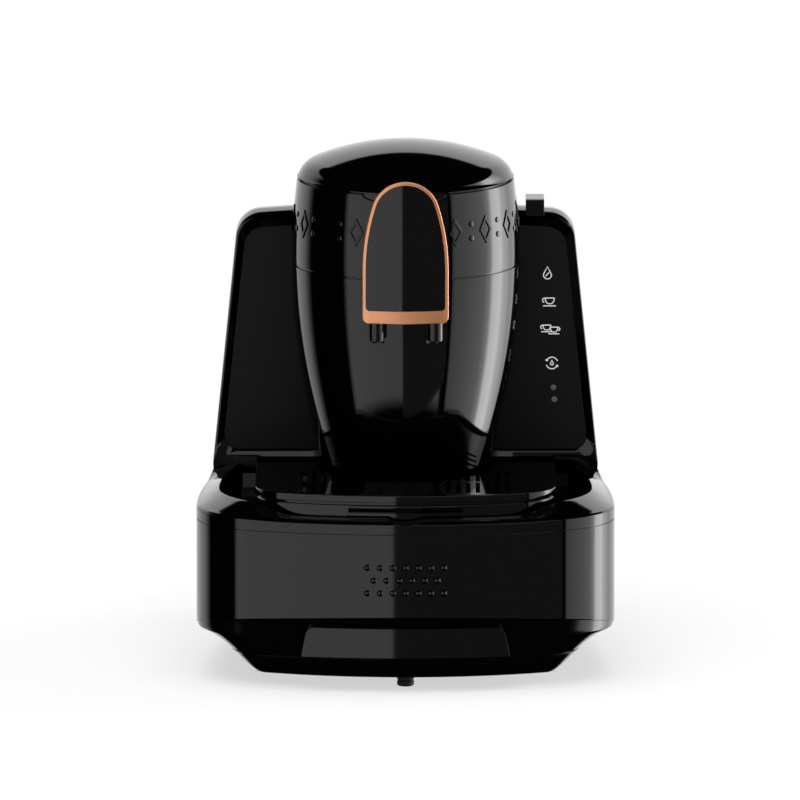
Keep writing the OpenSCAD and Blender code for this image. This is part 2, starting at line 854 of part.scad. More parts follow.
// Tray behind the nose that takes the coffee from the pot's lip and splits it to the spouts
module pour_chute() {
    front = -head_y - face_r;
    color(satin) intersection() {
        difference() {
            yz(-port_hw + 1, port_hw - 1) polygon([[front, chute_floor], [chute_back, chute_floor + chute_rise],
                [chute_back, channel_z + chute_rise + 0.4], [front + 22, chute_floor + 9], [front, chute_floor + 9]]);
            chute_channel(-port_hw + 2.6, -0.8);
            chute_channel(0.8, port_hw - 2.6);
        }
        barrel_room(nose_z - 10, up_seam_z, gap);
    }
}

// ---- tower ----

tower_back = tower_y + tower_d;
top_c = [0, tower_z - tower_top_r];
lean_a = atan(tower_lean);
tower_hw = base_w / 2 - tower_in;

function side_x(z) = tower_hw - (z - rim_z) * tower_lean;
function corner_x(z, r) = side_x(z) - r / cos(lean_a);
function corner_step(z, r) = top_c[1] + sqrt(pow(tower_top_r - r, 2) - pow(corner_x(z, r), 2));

// Front outline of the tower: leaning sides, rounded corners and a slightly arched crown
module tower2d(inset = 0, low = 0) {
    r = tower_corner_r;
    z = corner_step(corner_step(tower_z - 10, r), r);
    c = [corner_x(z, r), z];
    a = turn_to(c - top_c);
    small = max(r - inset, 1);
    k = r - inset < 1 ? (1 - r + inset) / cos(lean_a) : 0;
    half = concat([[side_x(rim_z + low) - inset / cos(lean_a), rim_z + low]],
                  arc(c - [k, k], small, lean_a, a, 8),
                  [for (q = arc(top_c, tower_top_r - inset, a, 90, 12))
                      if (q[0] > 1 && q[0] < c[0] + small * cos(a) - k - 0.5) q],
                  [[0, top_c[1] + tower_top_r - inset]]);
    polygon(concat(half, [for (q = flip(half)) if (q[0] < -0.5) q]));
}

panel_y = tower_y + panel_in;
front_wall = panel_in + panel_t + wall;
symbol_at = [for (p = [[27.4, 36.1], [26.3, 51.4], [26.1, 66.1], [25, 84.3]]) [tower_hw - p[0], tower_z - p[1]]];
lamp_at = [for (p = [[24.2, 97.4], [23.7, 103.7]]) [tower_hw - p[0], tower_z - p[1]]];
guide_r = 3;
lamp_r = 1.6;

module panel2d(play = 0) {
    difference() {
        intersection() {
            tower2d(rim_side + play, panel_low + play);
            translate([0, -1.8]) tower2d(rim_side + play, panel_low + play + 1.8);
        }
        square([2 * 30, 2 * far], center = true);
    }
}

module tower() {
    color(gloss) difference() {
        intersection() {
            xz(tower_y, tower_back) tower2d();
            slab(0.3, rim_z, tower_z + 1);
        }
        intersection() {
            xz(tower_y + front_wall, tower_back - wall) tower2d(wall, 3);
            slab(0.3 + wall, rim_z, tower_z + 1);
        }
        xz(tower_y - 1, panel_y + panel_t) panel2d();
        barrel_room(well_z - 1, tower_z + 1, gap);
        xz(tower_y + 9.2, tower_y + 9.6) difference() {
            tower2d(-5, 0);
            tower2d(0.5, -5);
        }
        for (p = symbol_at) rod([p[0], tower_y, p[1]], guide_r, front_wall + 1, "y");
        for (p = lamp_at) rod([p[0], tower_y, p[1]], lamp_r, front_wall + 1, "y");
    }
}

module panel(s) {
    color(gloss) difference() {
        intersection() {
            xz(panel_y, panel_y + panel_t) panel2d();
            block([s > 0 ? 0 : -far, -far, 0], [s > 0 ? far : 0, far, far]);
        }
        barrel_room(well_z - 1, tower_z + 1, gap);
    }
}

module left_panel() { panel(-1); }
module control_panel() { panel(1); }

module light_guides() {
    color("#dcdcdc") {
        for (p = symbol_at) rod([p[0], panel_y + panel_t, p[1]], guide_r, wall, "y");
        for (p = lamp_at) rod([p[0], panel_y + panel_t, p[1]], lamp_r, wall, "y");
    }
}

board_t = 1.6;

module touch_board() {
    y = tower_y + front_wall;
    x = tower_hw - 36.3;
    low = tower_z - 113;
    color(board_green) {
        block([x, y, low], [x + 20, y + board_t, low + 86]);
        block([x + 3, y + board_t, low + 36], [x + 13, y + board_t + 2, low + 46]);
        for (z = [8, 24, 64]) block([x + 4, y + board_t, low + z], [x + 8, y + board_t + 1.2, low + z + 5]);
        block([x + 4, y + board_t, low + 2], [x + 14, y + board_t + 5, low + 5.5]);
    }
}

// ---- water tank ----

tank_y = tower_back + tank_gap;
tank_d = base_d / 2 - tank_rear - tank_y;
socket_y = tank_y + 0.55 * tank_d;
tank_z = rim_z + gap;
tank_in = 9;

module tank_form(t, z0, z1) {
    intersection() {
        slab(tank_in + t, z0, z1);
        xz(tank_y + t, tank_y + tank_d - t) polygon([for (p = [[-1, z0 - 1], [1, z0 - 1], [1, z1 + 1], [-1, z1 + 1]])
            [p[0] * (side_x(p[1]) - (tank_in / 2 + t) / cos(lean_a)), p[1]]]);
    }
}

module water_tank() {
    color(smoked) difference() {
        union() {
            tank_form(0, tank_z, tank_z + tank_h);
            rod([0, socket_y, tank_z - deck_h + 2], valve_r + 2.6, deck_h);
        }
        tank_form(tank_wall, tank_z + tank_wall + 1, tank_z + tank_h + 1);
        rod([0, socket_y, tank_z - 20], valve_r, 40);
    }
}

tank_top = tank_z + tank_h;
tank_hinge = [tank_y + tank_d - 3.5, tank_top + 3.4];
tab_z = tower_z - tab_x * tab_x / (2 * tower_top_r) + 0.7;

module tank_lid() {
    ear = 9;
    color(gloss) difference() {
        union() {
            difference() {
                tank_form(0, tank_top + gap, tank_top + gap + tank_lid_t);
                block([-50, tank_hinge[0] - 5, 0], [50, far, far]);
            }
            yz(-30, 30) {
                translate(tank_hinge) circle(3);
                translate([tank_hinge[0] - 6, tank_hinge[1] - 1.6]) square([6, 3]);
            }
            yz(tab_x - tab_w / 2, tab_x + tab_w / 2) polygon([
                [tower_y - 1, tab_z - 1.2], [tower_y - 1, tab_z + 7.4], [tower_y + 1.6, tab_z + 7.8],
                [tower_y + 6, tab_z + 3.6], [tank_y + 6, tab_z + 3.2], [tank_y + 6, tank_top + 1],
                [tank_y + 0.5, tank_top + 1], [tank_y + 0.5, tab_z], [tower_y - 0.4, tab_z],
                [tower_y - 0.4, tab_z - 1.2]]);
        }
        rod([-60, tank_hinge[0], tank_hinge[1]], 1.5 + run_gap, 120, "x");
    }
}

module tank_hinge_pin() {
    color(steel) rod([-40, tank_hinge[0], tank_hinge[1]], 1.5, 80, "x");
}

module tank_hinge_ears() {
    color(smoked) for (s = [-1, 1]) {
        x0 = s > 0 ? 30.4 : -40;
        yz(x0, x0 + 9.6) difference() {
            union() {
                translate(tank_hinge) circle(3);
                translate([tank_hinge[0] - 3, tank_top]) square([6, 3.4]);
            }
            translate(tank_hinge) circle(1.5);
        }
    }
}

module valve_plunger() {
    color("#d8d8d0") {
        rod([0, socket_y, tank_z - 3], 1.6, 12);
        rod([0, socket_y, tank_z + tank_wall + 1 + gap], valve_r + 1.5, 1.5);
    }
}

module valve_spring() {
    color(steel) translate([0, socket_y, tank_z + tank_wall + 5.3]) for (i = [0 : 4])
        translate([0, 0, i * 1.6]) rotate_extrude() translate([3.2, 0]) circle(0.45, $fn = 16);
}

module valve_cap() {
    z = tank_z + tank_wall + 1;
    color("#d8d8d0") translate([0, socket_y, z]) difference() {
        cylinder(h = 13, r = valve_r + 4);
        translate([0, 0, -1]) cylinder(h = 12.4, r = valve_r + 2.4);
        translate([0, 0, 9]) cylinder(h = 5, r = 1.6 + 0.4);
        for (a = [0 : 45 : 135]) rotate(a) translate([0, 0, 5]) cube([2 * valve_r + 12, 3, 7], center = true);
    }
}

module tank_socket() {
    color(matt) translate([0, socket_y, 0]) difference() {
        union() {
            translate([0, 0, seam_z - 9]) cylinder(h = 9 + deck_h - 0.2, r = socket_r - gap);
            translate([0, 0, seam_z - 11]) cylinder(h = 11, r = socket_r + 3);
        }
        translate([0, 0, seam_z - 6]) cylinder(h = 30, r = valve_r + 2.9);
        translate([0, 0, seam_z - 12]) cylinder(h = 30, r = hose_bore);
    }
}

module socket_seal() {
    color(rubber) translate([0, socket_y, seam_z - 6]) difference() {
        cylinder(h = 1.8, r = valve_r + 2.9);
        translate([0, 0, -1]) cylinder(h = 4, r = 4);
    }
}

// ---- brewing mechanism ----

axis = [-head_y, low_seam_z + axis_up];
pot_z = axis[1] - pot_h / 2;
cradle_x = pot_r + 2.2;
sector_x = -cradle_x - 7;
bracket_x = sector_x - gear_t / 2 - 1.6;
mesh_r = gear_m * (sector_teeth + pinion_teeth) / 2;
pinion_at = [axis[0], axis[1] - mesh_r];
heater_t = 5;

module brew_pot() {
    color(steel) difference() {
        union() {
            translate([0, axis[0], pot_z]) cylinder(h = pot_h, r = pot_r);
            translate([0, axis[0], pot_z + pot_h - 1.6]) cylinder(h = 1.6, r = pot_r + 1.5);
            pot_lip(0);
        }
        translate([0, axis[0], pot_z + pot_wall]) cylinder(h = pot_h, r = pot_r - pot_wall);
        pot_lip(pot_wall);
    }
}

module pot_lip(t) {
    hw = 8 - t;
    z = pot_z + pot_h;
    intersection() {
        yz(-hw, hw) polygon([[axis[0] - pot_r + 3, z - 14 + 2 * t], [axis[0] - pot_r - 5.4 + t, z + t],
                             [axis[0] - pot_r + 3, z + t]]);
        translate([0, axis[0], pot_z]) cylinder(h = pot_h + 2, r = pot_r + 6);
    }
}

module pot_cradle() {
    band_z0 = axis[1] - 7;
    z_low = pot_z - heater_t - 2;
    color(matt) {
        difference() {
            union() {
                translate([0, axis[0], band_z0]) cylinder(h = 14, r = cradle_x);
                for (s = [-1, 1]) rod([s > 0 ? cradle_x - 1.5 : -cradle_x - 13, axis[0], axis[1]],
                                      trunnion_r, 14.5, "x");
                for (s = [-1, 1]) block([s > 0 ? pot_r + 0.2 : -cradle_x, axis[0] - 6, z_low],
                                        [s > 0 ? cradle_x : -pot_r - 0.2, axis[0] + 6, band_z0 + 1]);
                block([-cradle_x, axis[0] - 6, z_low], [cradle_x, axis[0] + 6, z_low + 2]);
            }
            translate([0, axis[0], z_low + 2]) cylinder(h = 80, r = pot_r + 0.2);
        }
    }
}

module heater_plate() {
    color(steel) {
        translate([0, axis[0], pot_z - heater_t]) cylinder(h = heater_t, r = pot_r - 4);
        for (s = [-1, 1]) block([s * 13 - 1.5, axis[0] + 7, pot_z - heater_t - 5],
                                [s * 13 + 1.5, axis[0] + 8, pot_z - heater_t]);
    }
}

// Spur gear outline: trapezoid teeth on a root circle, a tooth centred on direction a0
module gear2d(teeth, span = 360, a0 = 0) {
    rp = gear_m * teeth / 2;
    slack = backlash / rp * 180 / PI;
    root = rp - 1.25 * gear_m;
    tip = rp + gear_m;
    pitch = 360 / teeth;
    half = pitch / 4;
    count = floor(span / pitch + 0.5);
    first = span >= 360 ? 0 : -floor(count / 2);
    for (i = [first : first + count - 1]) rotate(a0 + i * pitch)
        polygon([polar(root - 0.4, -half * 1.6), polar(root, -half * 1.6), polar(rp, -half + slack),
                 polar(tip, -half * tip_share), polar(tip, half * tip_share), polar(rp, half - slack),
                 polar(root, half * 1.6), polar(root - 0.4, half * 1.6)]);
}

function polar(r, a) = r * [cos(a), sin(a)];

sector_mid = 225;
sector_span = 112;

module sector_gear() {
    rp = gear_m * sector_teeth / 2;
    root = rp - 1.25 * gear_m;
    pitch = 360 / sector_teeth;
    // a tooth of the sector points straight down at rest
    mid = 270 - round((270 - sector_mid) / pitch) * pitch;
    lim = sector_span / 2 + 2;
    color(matt) yz(sector_x - gear_t / 2, sector_x + gear_t / 2) translate(axis) difference() {
        union() {
            intersection() {
                circle(root, $fn = 128);
                polygon([[0, 0], polar(60, mid - lim), polar(90, mid), polar(60, mid + lim)]);
            }
            gear2d(sector_teeth, sector_span, mid);
            circle(8);
        }
        circle(trunnion_r);
        for (a = [-30, 0, 30]) translate(polar(22, mid + a)) circle(4.5);
    }
}

module pinion() {
    pitch = 360 / pinion_teeth;
    color("#d8d8d0") yz(sector_x - gear_t / 2, sector_x + gear_t / 2) translate(pinion_at) {
        difference() {
            union() {
                circle(gear_m * pinion_teeth / 2 - 1.25 * gear_m);
                // a gap of the pinion faces straight up, between two teeth
                gear2d(pinion_teeth, 360, 90 + pitch / 2);
            }
            circle(1.5);
        }
    }
}

module motor_shaft() {
    color(steel) rod([bracket_x - bracket_t / 2 - 3, pinion_at[0], pinion_at[1]], 1.5,
                     -bracket_x + bracket_t / 2 + 3 + sector_x + gear_t / 2, "x");
}

module tilt_motor() {
    l = 9.5;
    x0 = bracket_x - bracket_t / 2 - l;
    color("#8d9094") difference() {
        union() {
            rod([x0 + 1, pinion_at[0], pinion_at[1]], motor_r, l - 1, "x");
            rod([x0, pinion_at[0], pinion_at[1]], motor_r - 2, l, "x");
            block([x0 + l - 3, pinion_at[0] - motor_r - 5, pinion_at[1] - 4],
                  [x0 + l, pinion_at[0] + motor_r + 5, pinion_at[1] + 4]);
        }
        rod([x0 + l - 3.5, pinion_at[0], pinion_at[1]], 1.5 + run_gap, 10, "x");
        for (s = [-1, 1]) rod([x0 + l - 4, pinion_at[0] + s * (motor_r + 2.4), pinion_at[1]], 1.2, 10, "x");
    }
}

module bracket_plate(with_motor) {
    foot_z = chassis_z + chassis_t;
    polygon([[axis[0] - 20, foot_z], [axis[0] + 20, foot_z], [axis[0] + 20, foot_z + 6],
             [axis[0] + 8, axis[1]], [axis[0] - 8, axis[1]], [axis[0] - 20, foot_z + 6]]);
    translate(axis) circle(8);
    if (with_motor) translate(pinion_at) circle(motor_r + 6);
}

module bracket(s) {
    x0 = s > 0 ? -bracket_x - bracket_t / 2 : bracket_x - bracket_t / 2;
    in_x = s > 0 ? -bracket_x - bracket_t / 2 - 8 : bracket_x - bracket_t / 2;
    color(steel) difference() {
        union() {
            intersection() {
                yz(x0, x0 + bracket_t) difference() {
                    bracket_plate(s < 0);
                    translate(axis) circle(trunnion_r + run_gap);
                    if (s < 0) translate(pinion_at) circle(1.5 + run_gap);
                    if (s < 0) for (k = [-1, 1])
                        translate(pinion_at + [k * (motor_r + 2.4), 0]) circle(1.2);
                }
                block([-far, -far, chassis_z + chassis_t], [far, far, far]);
            }
            block([in_x, axis[0] - 20, chassis_z + chassis_t],
                  [in_x + 8 + bracket_t, axis[0] + 20, chassis_z + chassis_t + 2.5]);
        }
        for (k = [-1, 1]) rod([s > 0 ? in_x + 3.4 : in_x + bracket_t + 4.6, axis[0] + k * 15, chassis_z],
                              screw_r, 10);
    }
}

module left_bracket() { bracket(-1); }
module right_bracket() { bracket(1); }

screw_xs = [-bracket_x - bracket_t / 2 - 8 + 3.4, bracket_x + bracket_t / 2 + 4.6];

module bracket_screws() {
    color(steel) for (x = screw_xs) for (k = [-1, 1]) {
        rod([x, axis[0] + k * 15, chassis_z - 4], screw_r - 0.05, 9.5);
        rod([x, axis[0] + k * 15, chassis_z + chassis_t + 2.5], 3, 2);
    }
}

module chassis_plate() {
    r = barrel(chassis_z) - barrel_wall - 1;
    color(matt) difference() {
        translate([0, -head_y, chassis_z]) cylinder(h = chassis_t, r = r, $fn = 128);
        for (x = screw_xs) for (k = [-1, 1]) rod([x, axis[0] + k * 15, chassis_z - 1], screw_r, 10);
        translate([riser_low[0], riser_low[1], chassis_z - 1]) cylinder(h = 10, r = hose_r + 3);
        rod([0, axis[0] - 20, chassis_z - 1], 7, 10);
    }
}

// ---- water path and electrics ----

floor_z = foot_h + wall;
pump_at = [82 - base_w / 2, 50, floor_z + pump_r + 6];

module pump() {
    color("#c9c9c4") {
        rod([pump_at[0] - pump_l / 2, pump_at[1], pump_at[2]], pump_r, pump_l, "x");
        rod([pump_at[0] + pump_l / 2, pump_at[1], pump_at[2]], pump_r - 7, 7, "x");
        rod([pump_at[0] - pump_l / 2 - 9, pump_at[1], pump_at[2]], hose_bore + 0.8, 9, "x");
        rod([pump_at[0] + pump_l / 2 + 7, pump_at[1], pump_at[2]], hose_bore + 0.8, 8, "x");
    }
}

module pump_mount() {
    color(rubber) for (s = [-1, 1]) {
        x0 = pump_at[0] + s * (pump_l / 2 - 9) - 3;
        yz(x0, x0 + 6) difference() {
            translate([pump_at[1] - pump_r - 3, floor_z]) square([2 * pump_r + 6, pump_at[2] - floor_z]);
            translate([pump_at[1], pump_at[2]]) circle(pump_r);
        }
    }
}

// Smooth curve through a list of points, with a few steps between neighbours
function curve(p, steps = 4) = [
    for (i = [0 : len(p) - 2]) for (k = [0 : steps - (i < len(p) - 2 ? 1 : 0)])
        let (t = k / steps, b = p[i], c = p[i + 1],
             a = i > 0 ? p[i - 1] : 2 * b - c, d = i < len(p) - 2 ? p[i + 2] : 2 * c - b)
        (2 * b + t * (c - a) + t * t * (2 * a - 5 * b + 4 * c - d)
         + t * t * t * (3 * b - a - 3 * c + d)) / 2];

// Hollow tube swept along a curve that stays roughly in planes across X
module hose(p, sides = 8) {
    c = curve(p);
    n = len(c);
    dirs = [for (i = [0 : n - 1]) i == 0 ? unit(p[1] - p[0])
        : i == n - 1 ? unit(p[len(p) - 1] - p[len(p) - 2]) : unit(c[i + 1] - c[i - 1])];
    ring = function (i, r) let (t = dirs[i], u = unit(cross(t, [0.3, 1, 0.2])), v = cross(t, u))
        [for (k = [0 : sides - 1]) c[i] + r * (cos(360 * k / sides) * u + sin(360 * k / sides) * v)];
    points = [for (r = [hose_r, hose_bore]) for (i = [0 : n - 1]) each ring(i, r)];
    wall_faces = function (base, out) [for (i = [0 : n - 2]) for (k = [0 : sides - 1])
        let (m = (k + 1) % sides, a = base + i * sides + k, b = base + i * sides + m,
             f = [a, b, b + sides, a + sides]) each split(out ? f : [f[3], f[2], f[1], f[0]])];
    end_faces = function (i, out) [for (k = [0 : sides - 1])
        let (m = (k + 1) % sides, a = i * sides + k, b = i * sides + m, q = n * sides,
             f = [a, a + q, b + q, b]) each split(out ? f : [f[3], f[2], f[1], f[0]])];
    color("#e4e4e0") polyhedron(points, concat(wall_faces(0, false), wall_faces(n * sides, true),
        end_faces(0, false), end_faces(n - 1, true)));
}

function split(f) = [[f[0], f[1], f[2]], [f[0], f[2], f[3]]];

pump_in = [pump_at[0] - pump_l / 2 - 9, pump_at[1], pump_at[2]];
pump_out = [pump_at[0] + pump_l / 2 + 15, pump_at[1], pump_at[2]];
riser_low = [0, 6];
riser_high = [0, 27];
nozzle_z = up_seam_z - 12;

// From the tank's socket down into the base and across to the pump
module inlet_hose() {
    hose([[0, socket_y, seam_z - 11], [0, socket_y, seam_z - 18], [-22, socket_y - 2, 52],
          [pump_in[0] + 6, 78, pump_in[2] + 4], [pump_in[0] - 14, 60, pump_in[2]],
          [pump_in[0] - 8, pump_in[1], pump_in[2]], pump_in]);
}

// From the pump up through the column to the nozzle behind the pot
module outlet_hose() {
    hose([pump_out, pump_out + [6, 0, 0], [pump_out[0] + 8, 36, 46], [8, 14, 62],
          [riser_low[0], riser_low[1], 80], [riser_low[0], riser_low[1], chassis_z],
          [riser_low[0] , riser_low[1] + 4, chassis_z + 14],
          [riser_high[0], riser_high[1] - 4, chassis_z + 34], [riser_high[0], riser_high[1], chassis_z + 50],
          [riser_high[0], riser_high[1], nozzle_z]]);
}

// Turns over at the top and squirts forward into the pot's mouth
module water_nozzle() {
    top = up_seam_z + 5;
    at = [riser_high[0], riser_high[1], nozzle_z];
    tip_r = 2.6;
    color("#d8d8d0") difference() {
        union() {
            translate(at) cylinder(h = top - nozzle_z, r = tip_r);
            translate(at) cylinder(h = 3, r = hose_r + 1);
            translate([at[0], at[1], top]) sphere(tip_r);
            translate([at[0], at[1], top]) rotate([100, 0, 0]) cylinder(h = 10, r = tip_r);
            block([-7, at[1] - 2.5, nozzle_z + 3], [7, at[1] + 2.5, nozzle_z + 6]);
        }
        translate([at[0], at[1], nozzle_z - 1]) cylinder(h = top - nozzle_z - 2, r = 1.4);
        translate([at[0], at[1], top]) rotate([100, 0, 0]) translate([0, 0, 4]) cylinder(h = 8, r = 1.4);
    }
}

module power_board() {
    z = floor_z + 8;
    color(board_green) block([12, -60, z], [72, 20, z + board_t]);
    color(matt) {
        block([20, -52, z + board_t], [48, -22, z + board_t + 24]);
        block([54, -50, z + board_t], [68, -36, z + board_t + 15]);
        for (y = [-18, -4]) rod([60, y, z + board_t], 5, 20);
        block([20, 0, z + board_t], [44, 12, z + board_t + 16]);
    }
    color(satin) for (p = [[16, -56], [68, -56], [16, 16], [68, 16]]) rod([p[0], p[1], floor_z], 3, 8);
}

rocker_pivot = [back_at - 4.8, switch_z];
rocker_hw = switch_w / 2 - 2.4;
rocker_pin_r = 1;

module switch_frame() {
    color(matt) difference() {
        translate([switch_x, back_at - 7.6, switch_z]) cube([switch_w, 14, switch_h], center = true);
        translate([switch_x, back_at - 5.6, switch_z]) cube([switch_w - 4, 14, switch_h - 4], center = true);
        rod([switch_x - rocker_hw - 1.7, rocker_pivot[0], rocker_pivot[1]], rocker_pin_r + run_gap,
            2 * rocker_hw + 3.4, "x");
    }
}

module mains_rocker() {
    color(satin) {
        yz(switch_x - rocker_hw, switch_x + rocker_hw) translate(rocker_pivot)
            polygon([[2, -4.4], [1.6, 0], [3.6, 3.9], [-1, 4.4], [-3.4, 0], [-1, -4.6]]);
        rod([switch_x - rocker_hw - 1.4, rocker_pivot[0], rocker_pivot[1]], rocker_pin_r,
            2 * rocker_hw + 2.8, "x");
    }
}

module cord_gland() {
    color(rubber) translate([gland_x, back_at, switch_z]) rotate([90, 0, 0]) difference() {
        union() {
            translate([0, 0, -0.5]) cylinder(h = 15, r = gland_r - 0.2);
            translate([0, 0, 7.6]) cylinder(h = 3, r = gland_r + 2);
        }
        translate([0, 0, -9]) cylinder(h = 40, r = 3.4);
    }
}

base_housing();
bottom_tub();
front_foot();
side_feet();
base_screws();
deck();
drip_tray();
cup_grille();
column_shell();
head_ring();
lid();
lid_liner();
lid_seal();
hinge_pin();
nose_body();
nose_trim();
nose_plate();
left_spout();
right_spout();
pour_chute();
tower();
left_panel();
control_panel();
light_guides();
touch_board();
water_tank();
tank_lid();
tank_hinge_pin();
tank_hinge_ears();
valve_plunger();
valve_spring();
valve_cap();
tank_socket();
socket_seal();
brew_pot();
pot_cradle();
heater_plate();
sector_gear();
pinion();
motor_shaft();
tilt_motor();
left_bracket();
right_bracket();
bracket_screws();
chassis_plate();
pump();
pump_mount();
inlet_hose();
outlet_hose();
water_nozzle();
power_board();
switch_frame();
mains_rocker();
cord_gland();
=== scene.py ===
"""Electric turkish coffee maker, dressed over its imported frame.

Lengths are in millimetres inside the shapes and become metres when a piece is finished.
+Z is up, the front faces -Y, and +X is on the right as seen from the front.
"""

import json
import logging
import math
from dataclasses import dataclass
from enum import Enum
from typing import Any, Callable, Iterable, Sequence

import bmesh
import bpy
from mathutils import Matrix, Vector

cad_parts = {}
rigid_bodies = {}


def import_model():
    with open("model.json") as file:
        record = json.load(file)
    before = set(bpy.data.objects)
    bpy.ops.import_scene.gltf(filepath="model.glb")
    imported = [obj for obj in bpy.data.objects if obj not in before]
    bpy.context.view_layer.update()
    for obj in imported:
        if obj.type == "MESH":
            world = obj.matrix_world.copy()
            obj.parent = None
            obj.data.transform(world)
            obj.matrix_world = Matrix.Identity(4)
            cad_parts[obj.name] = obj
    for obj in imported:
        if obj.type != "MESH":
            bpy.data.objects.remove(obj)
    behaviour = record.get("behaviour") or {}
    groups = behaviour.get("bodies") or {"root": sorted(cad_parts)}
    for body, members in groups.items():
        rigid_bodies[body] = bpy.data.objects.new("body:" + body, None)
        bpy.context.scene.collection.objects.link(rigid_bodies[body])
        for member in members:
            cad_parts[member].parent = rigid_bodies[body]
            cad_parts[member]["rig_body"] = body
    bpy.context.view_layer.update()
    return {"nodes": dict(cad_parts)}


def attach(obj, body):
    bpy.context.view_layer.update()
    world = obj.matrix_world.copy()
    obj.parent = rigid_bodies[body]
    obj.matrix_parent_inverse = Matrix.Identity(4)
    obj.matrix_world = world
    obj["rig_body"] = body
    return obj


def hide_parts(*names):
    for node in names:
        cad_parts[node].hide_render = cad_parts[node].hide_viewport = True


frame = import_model()
LOG = logging.getLogger("coffee_maker")

MM = 0.001
FAR = 400.0
Flat = tuple[float, float]
Place = tuple[float, float, float]


# ---- numbers shared with the frame, in millimetres ----

HEAD_Y = -18.0
HEAD_R = 60.0
BULGE_R = 353.0
SEAM_Z = 84.5
RIM_Z = 91.5
WELL_Z = 87.5
LOW_SEAM_Z = 211.0
UP_SEAM_Z = 256.0
SEAM_GAP = 0.6
TOWER_Y = 12.0
TOWER_BACK = 49.5
NOSE_Z = 188.5
NOSE_H = 75.4
FACE_R = 64.5
SPOUT_X = 15.3
SPOUT_Y = -78.7
HINGE = (42.5, 257.6)


def barrel(z: float) -> float:
    """Radius of the bulging barrel at height z."""
    return HEAD_R - BULGE_R + math.sqrt(BULGE_R**2 - (z - LOW_SEAM_Z) ** 2)


def arc(centre: Flat, r: float, a0: float, a1: float, steps: int) -> list[Flat]:
    """Points of an arc, ends included.

    Args:
        centre: Middle of the arc.
        r: Radius.
        a0: First angle in degrees.
        a1: Last angle in degrees.
        steps: Number of equal steps.

    Returns:
        The points from a0 to a1.
    """
    turn = [math.radians(a0 + (a1 - a0) * k / steps) for k in range(steps + 1)]
    return [(centre[0] + r * math.cos(a), centre[1] + r * math.sin(a)) for a in turn]


def heading(a: Flat, b: Flat) -> float:
    """Direction from a to b in degrees."""
    return math.degrees(math.atan2(b[1] - a[1], b[0] - a[0]))


def mirrored(half: Sequence[Flat]) -> list[Flat]:
    """A whole outline from its right half, which starts and ends on the middle line or beside it."""
    inner = [p for p in half if abs(p[0]) > 1e-6]
    return list(half) + [(-x, y) for x, y in reversed(inner)]


@dataclass(frozen=True)
class Plan:
    """Outline of the base seen from above: tangent arcs for front, corners, sides, heels and rear."""

    width: float = 220.0
    depth: float = 263.0
    front_r: float = 250.0
    corner_r: float = 44.0
    side_r: float = 500.0
    heel_r: float = 45.0
    rear_r: float = 300.0

    @property
    def front(self) -> Flat:
        """Centre of the front arc."""
        return (0.0, -self.depth / 2 + self.front_r)

    @property
    def corner(self) -> Flat:
        """Centre of the right front corner."""
        x = self.width / 2 - self.corner_r
        return (x, self.front[1] - math.sqrt((self.front_r - self.corner_r) ** 2 - x**2))

    @property
    def side(self) -> Flat:
        """Centre of the right side's arc."""
        return (self.width / 2 - self.side_r, self.corner[1])

    @property
    def rear(self) -> Flat:
        """Centre of the rear arc."""
        return (0.0, self.depth / 2 - self.rear_r)

    @property
    def heel(self) -> Flat:
        """Centre of the right rear corner, where the side's and the rear's inner arcs cross."""
        p, r = Vector(self.side), self.side_r - self.heel_r
        q, s = Vector(self.rear), self.rear_r - self.heel_r
        gap = (q - p).length
        u = (q - p) / gap
        along = (gap**2 + r**2 - s**2) / (2 * gap)
        off = math.sqrt(r**2 - along**2)
        ends = [p + along * u + k * off * Vector((-u.y, u.x)) for k in (1, -1)]
        best = max(ends, key=lambda v: v.y)
        return (best.x, best.y)

    def half(self, inset: float, fine: int = 1) -> list[Flat]:
        """Right half of the outline from the front middle to the rear middle.

        Args:
            inset: Distance inside the outline.
            fine: Multiplies the number of steps of each arc.

        Returns:
            The points of the half outline, the same number for each inset.
        """
        a = heading(self.front, self.corner)
        b = heading(self.side, self.heel)
        c = heading(self.rear, self.heel)
        return (
            arc(self.front, self.front_r - inset, -90, a, 16 * fine)
            + arc(self.corner, self.corner_r - inset, a, 0, 14 * fine)[1:]
            + arc(self.side, self.side_r - inset, 0, b, 16 * fine)[1:]
            + arc(self.heel, self.heel_r - inset, b, c, 12 * fine)[1:]
            + arc(self.rear, self.rear_r - inset, c, 90, 12 * fine)[1:]
        )

    def outline(self, inset: float) -> list[Flat]:
        """The closed outline at that inset."""
        return mirrored(self.half(inset))

    def outside(self, x: float, y: float) -> float:
        """How far a point of the front part lies outside the outline, or below 0 inside it."""
        x = abs(x)
        turn = heading(self.corner, (x, y))
        if turn < heading(self.front, self.corner) or x < self.corner[0]:
            centre, r = self.front, self.front_r
        elif turn < 0:
            centre, r = self.corner, self.corner_r
        else:
            centre, r = self.side, self.side_r
        return math.hypot(x - centre[0], y - centre[1]) - r

    def front_part(self, inset: float, back: float) -> list[Flat]:
        """The outline cut off straight at y = back.

        Args:
            inset: Distance inside the outline.
            back: Depth of the straight cut.

        Returns:
            The closed outline.
        """
        a = heading(self.front, self.corner)
        r = self.side_r - inset
        end = math.degrees(math.asin((back - self.side[1]) / r))
        half = (
            arc(self.front, self.front_r - inset, -90, a, 20)
            + arc(self.corner, self.corner_r - inset, a, 0, 16)[1:]
            + arc(self.side, r, 0, end, 8)[1:]
        )
        return mirrored(half)


PLAN = Plan()
WELL = Plan(width=195.6, depth=239.0, front_r=238.0, corner_r=55.0, side_r=256.0)


# ---- finishes ----


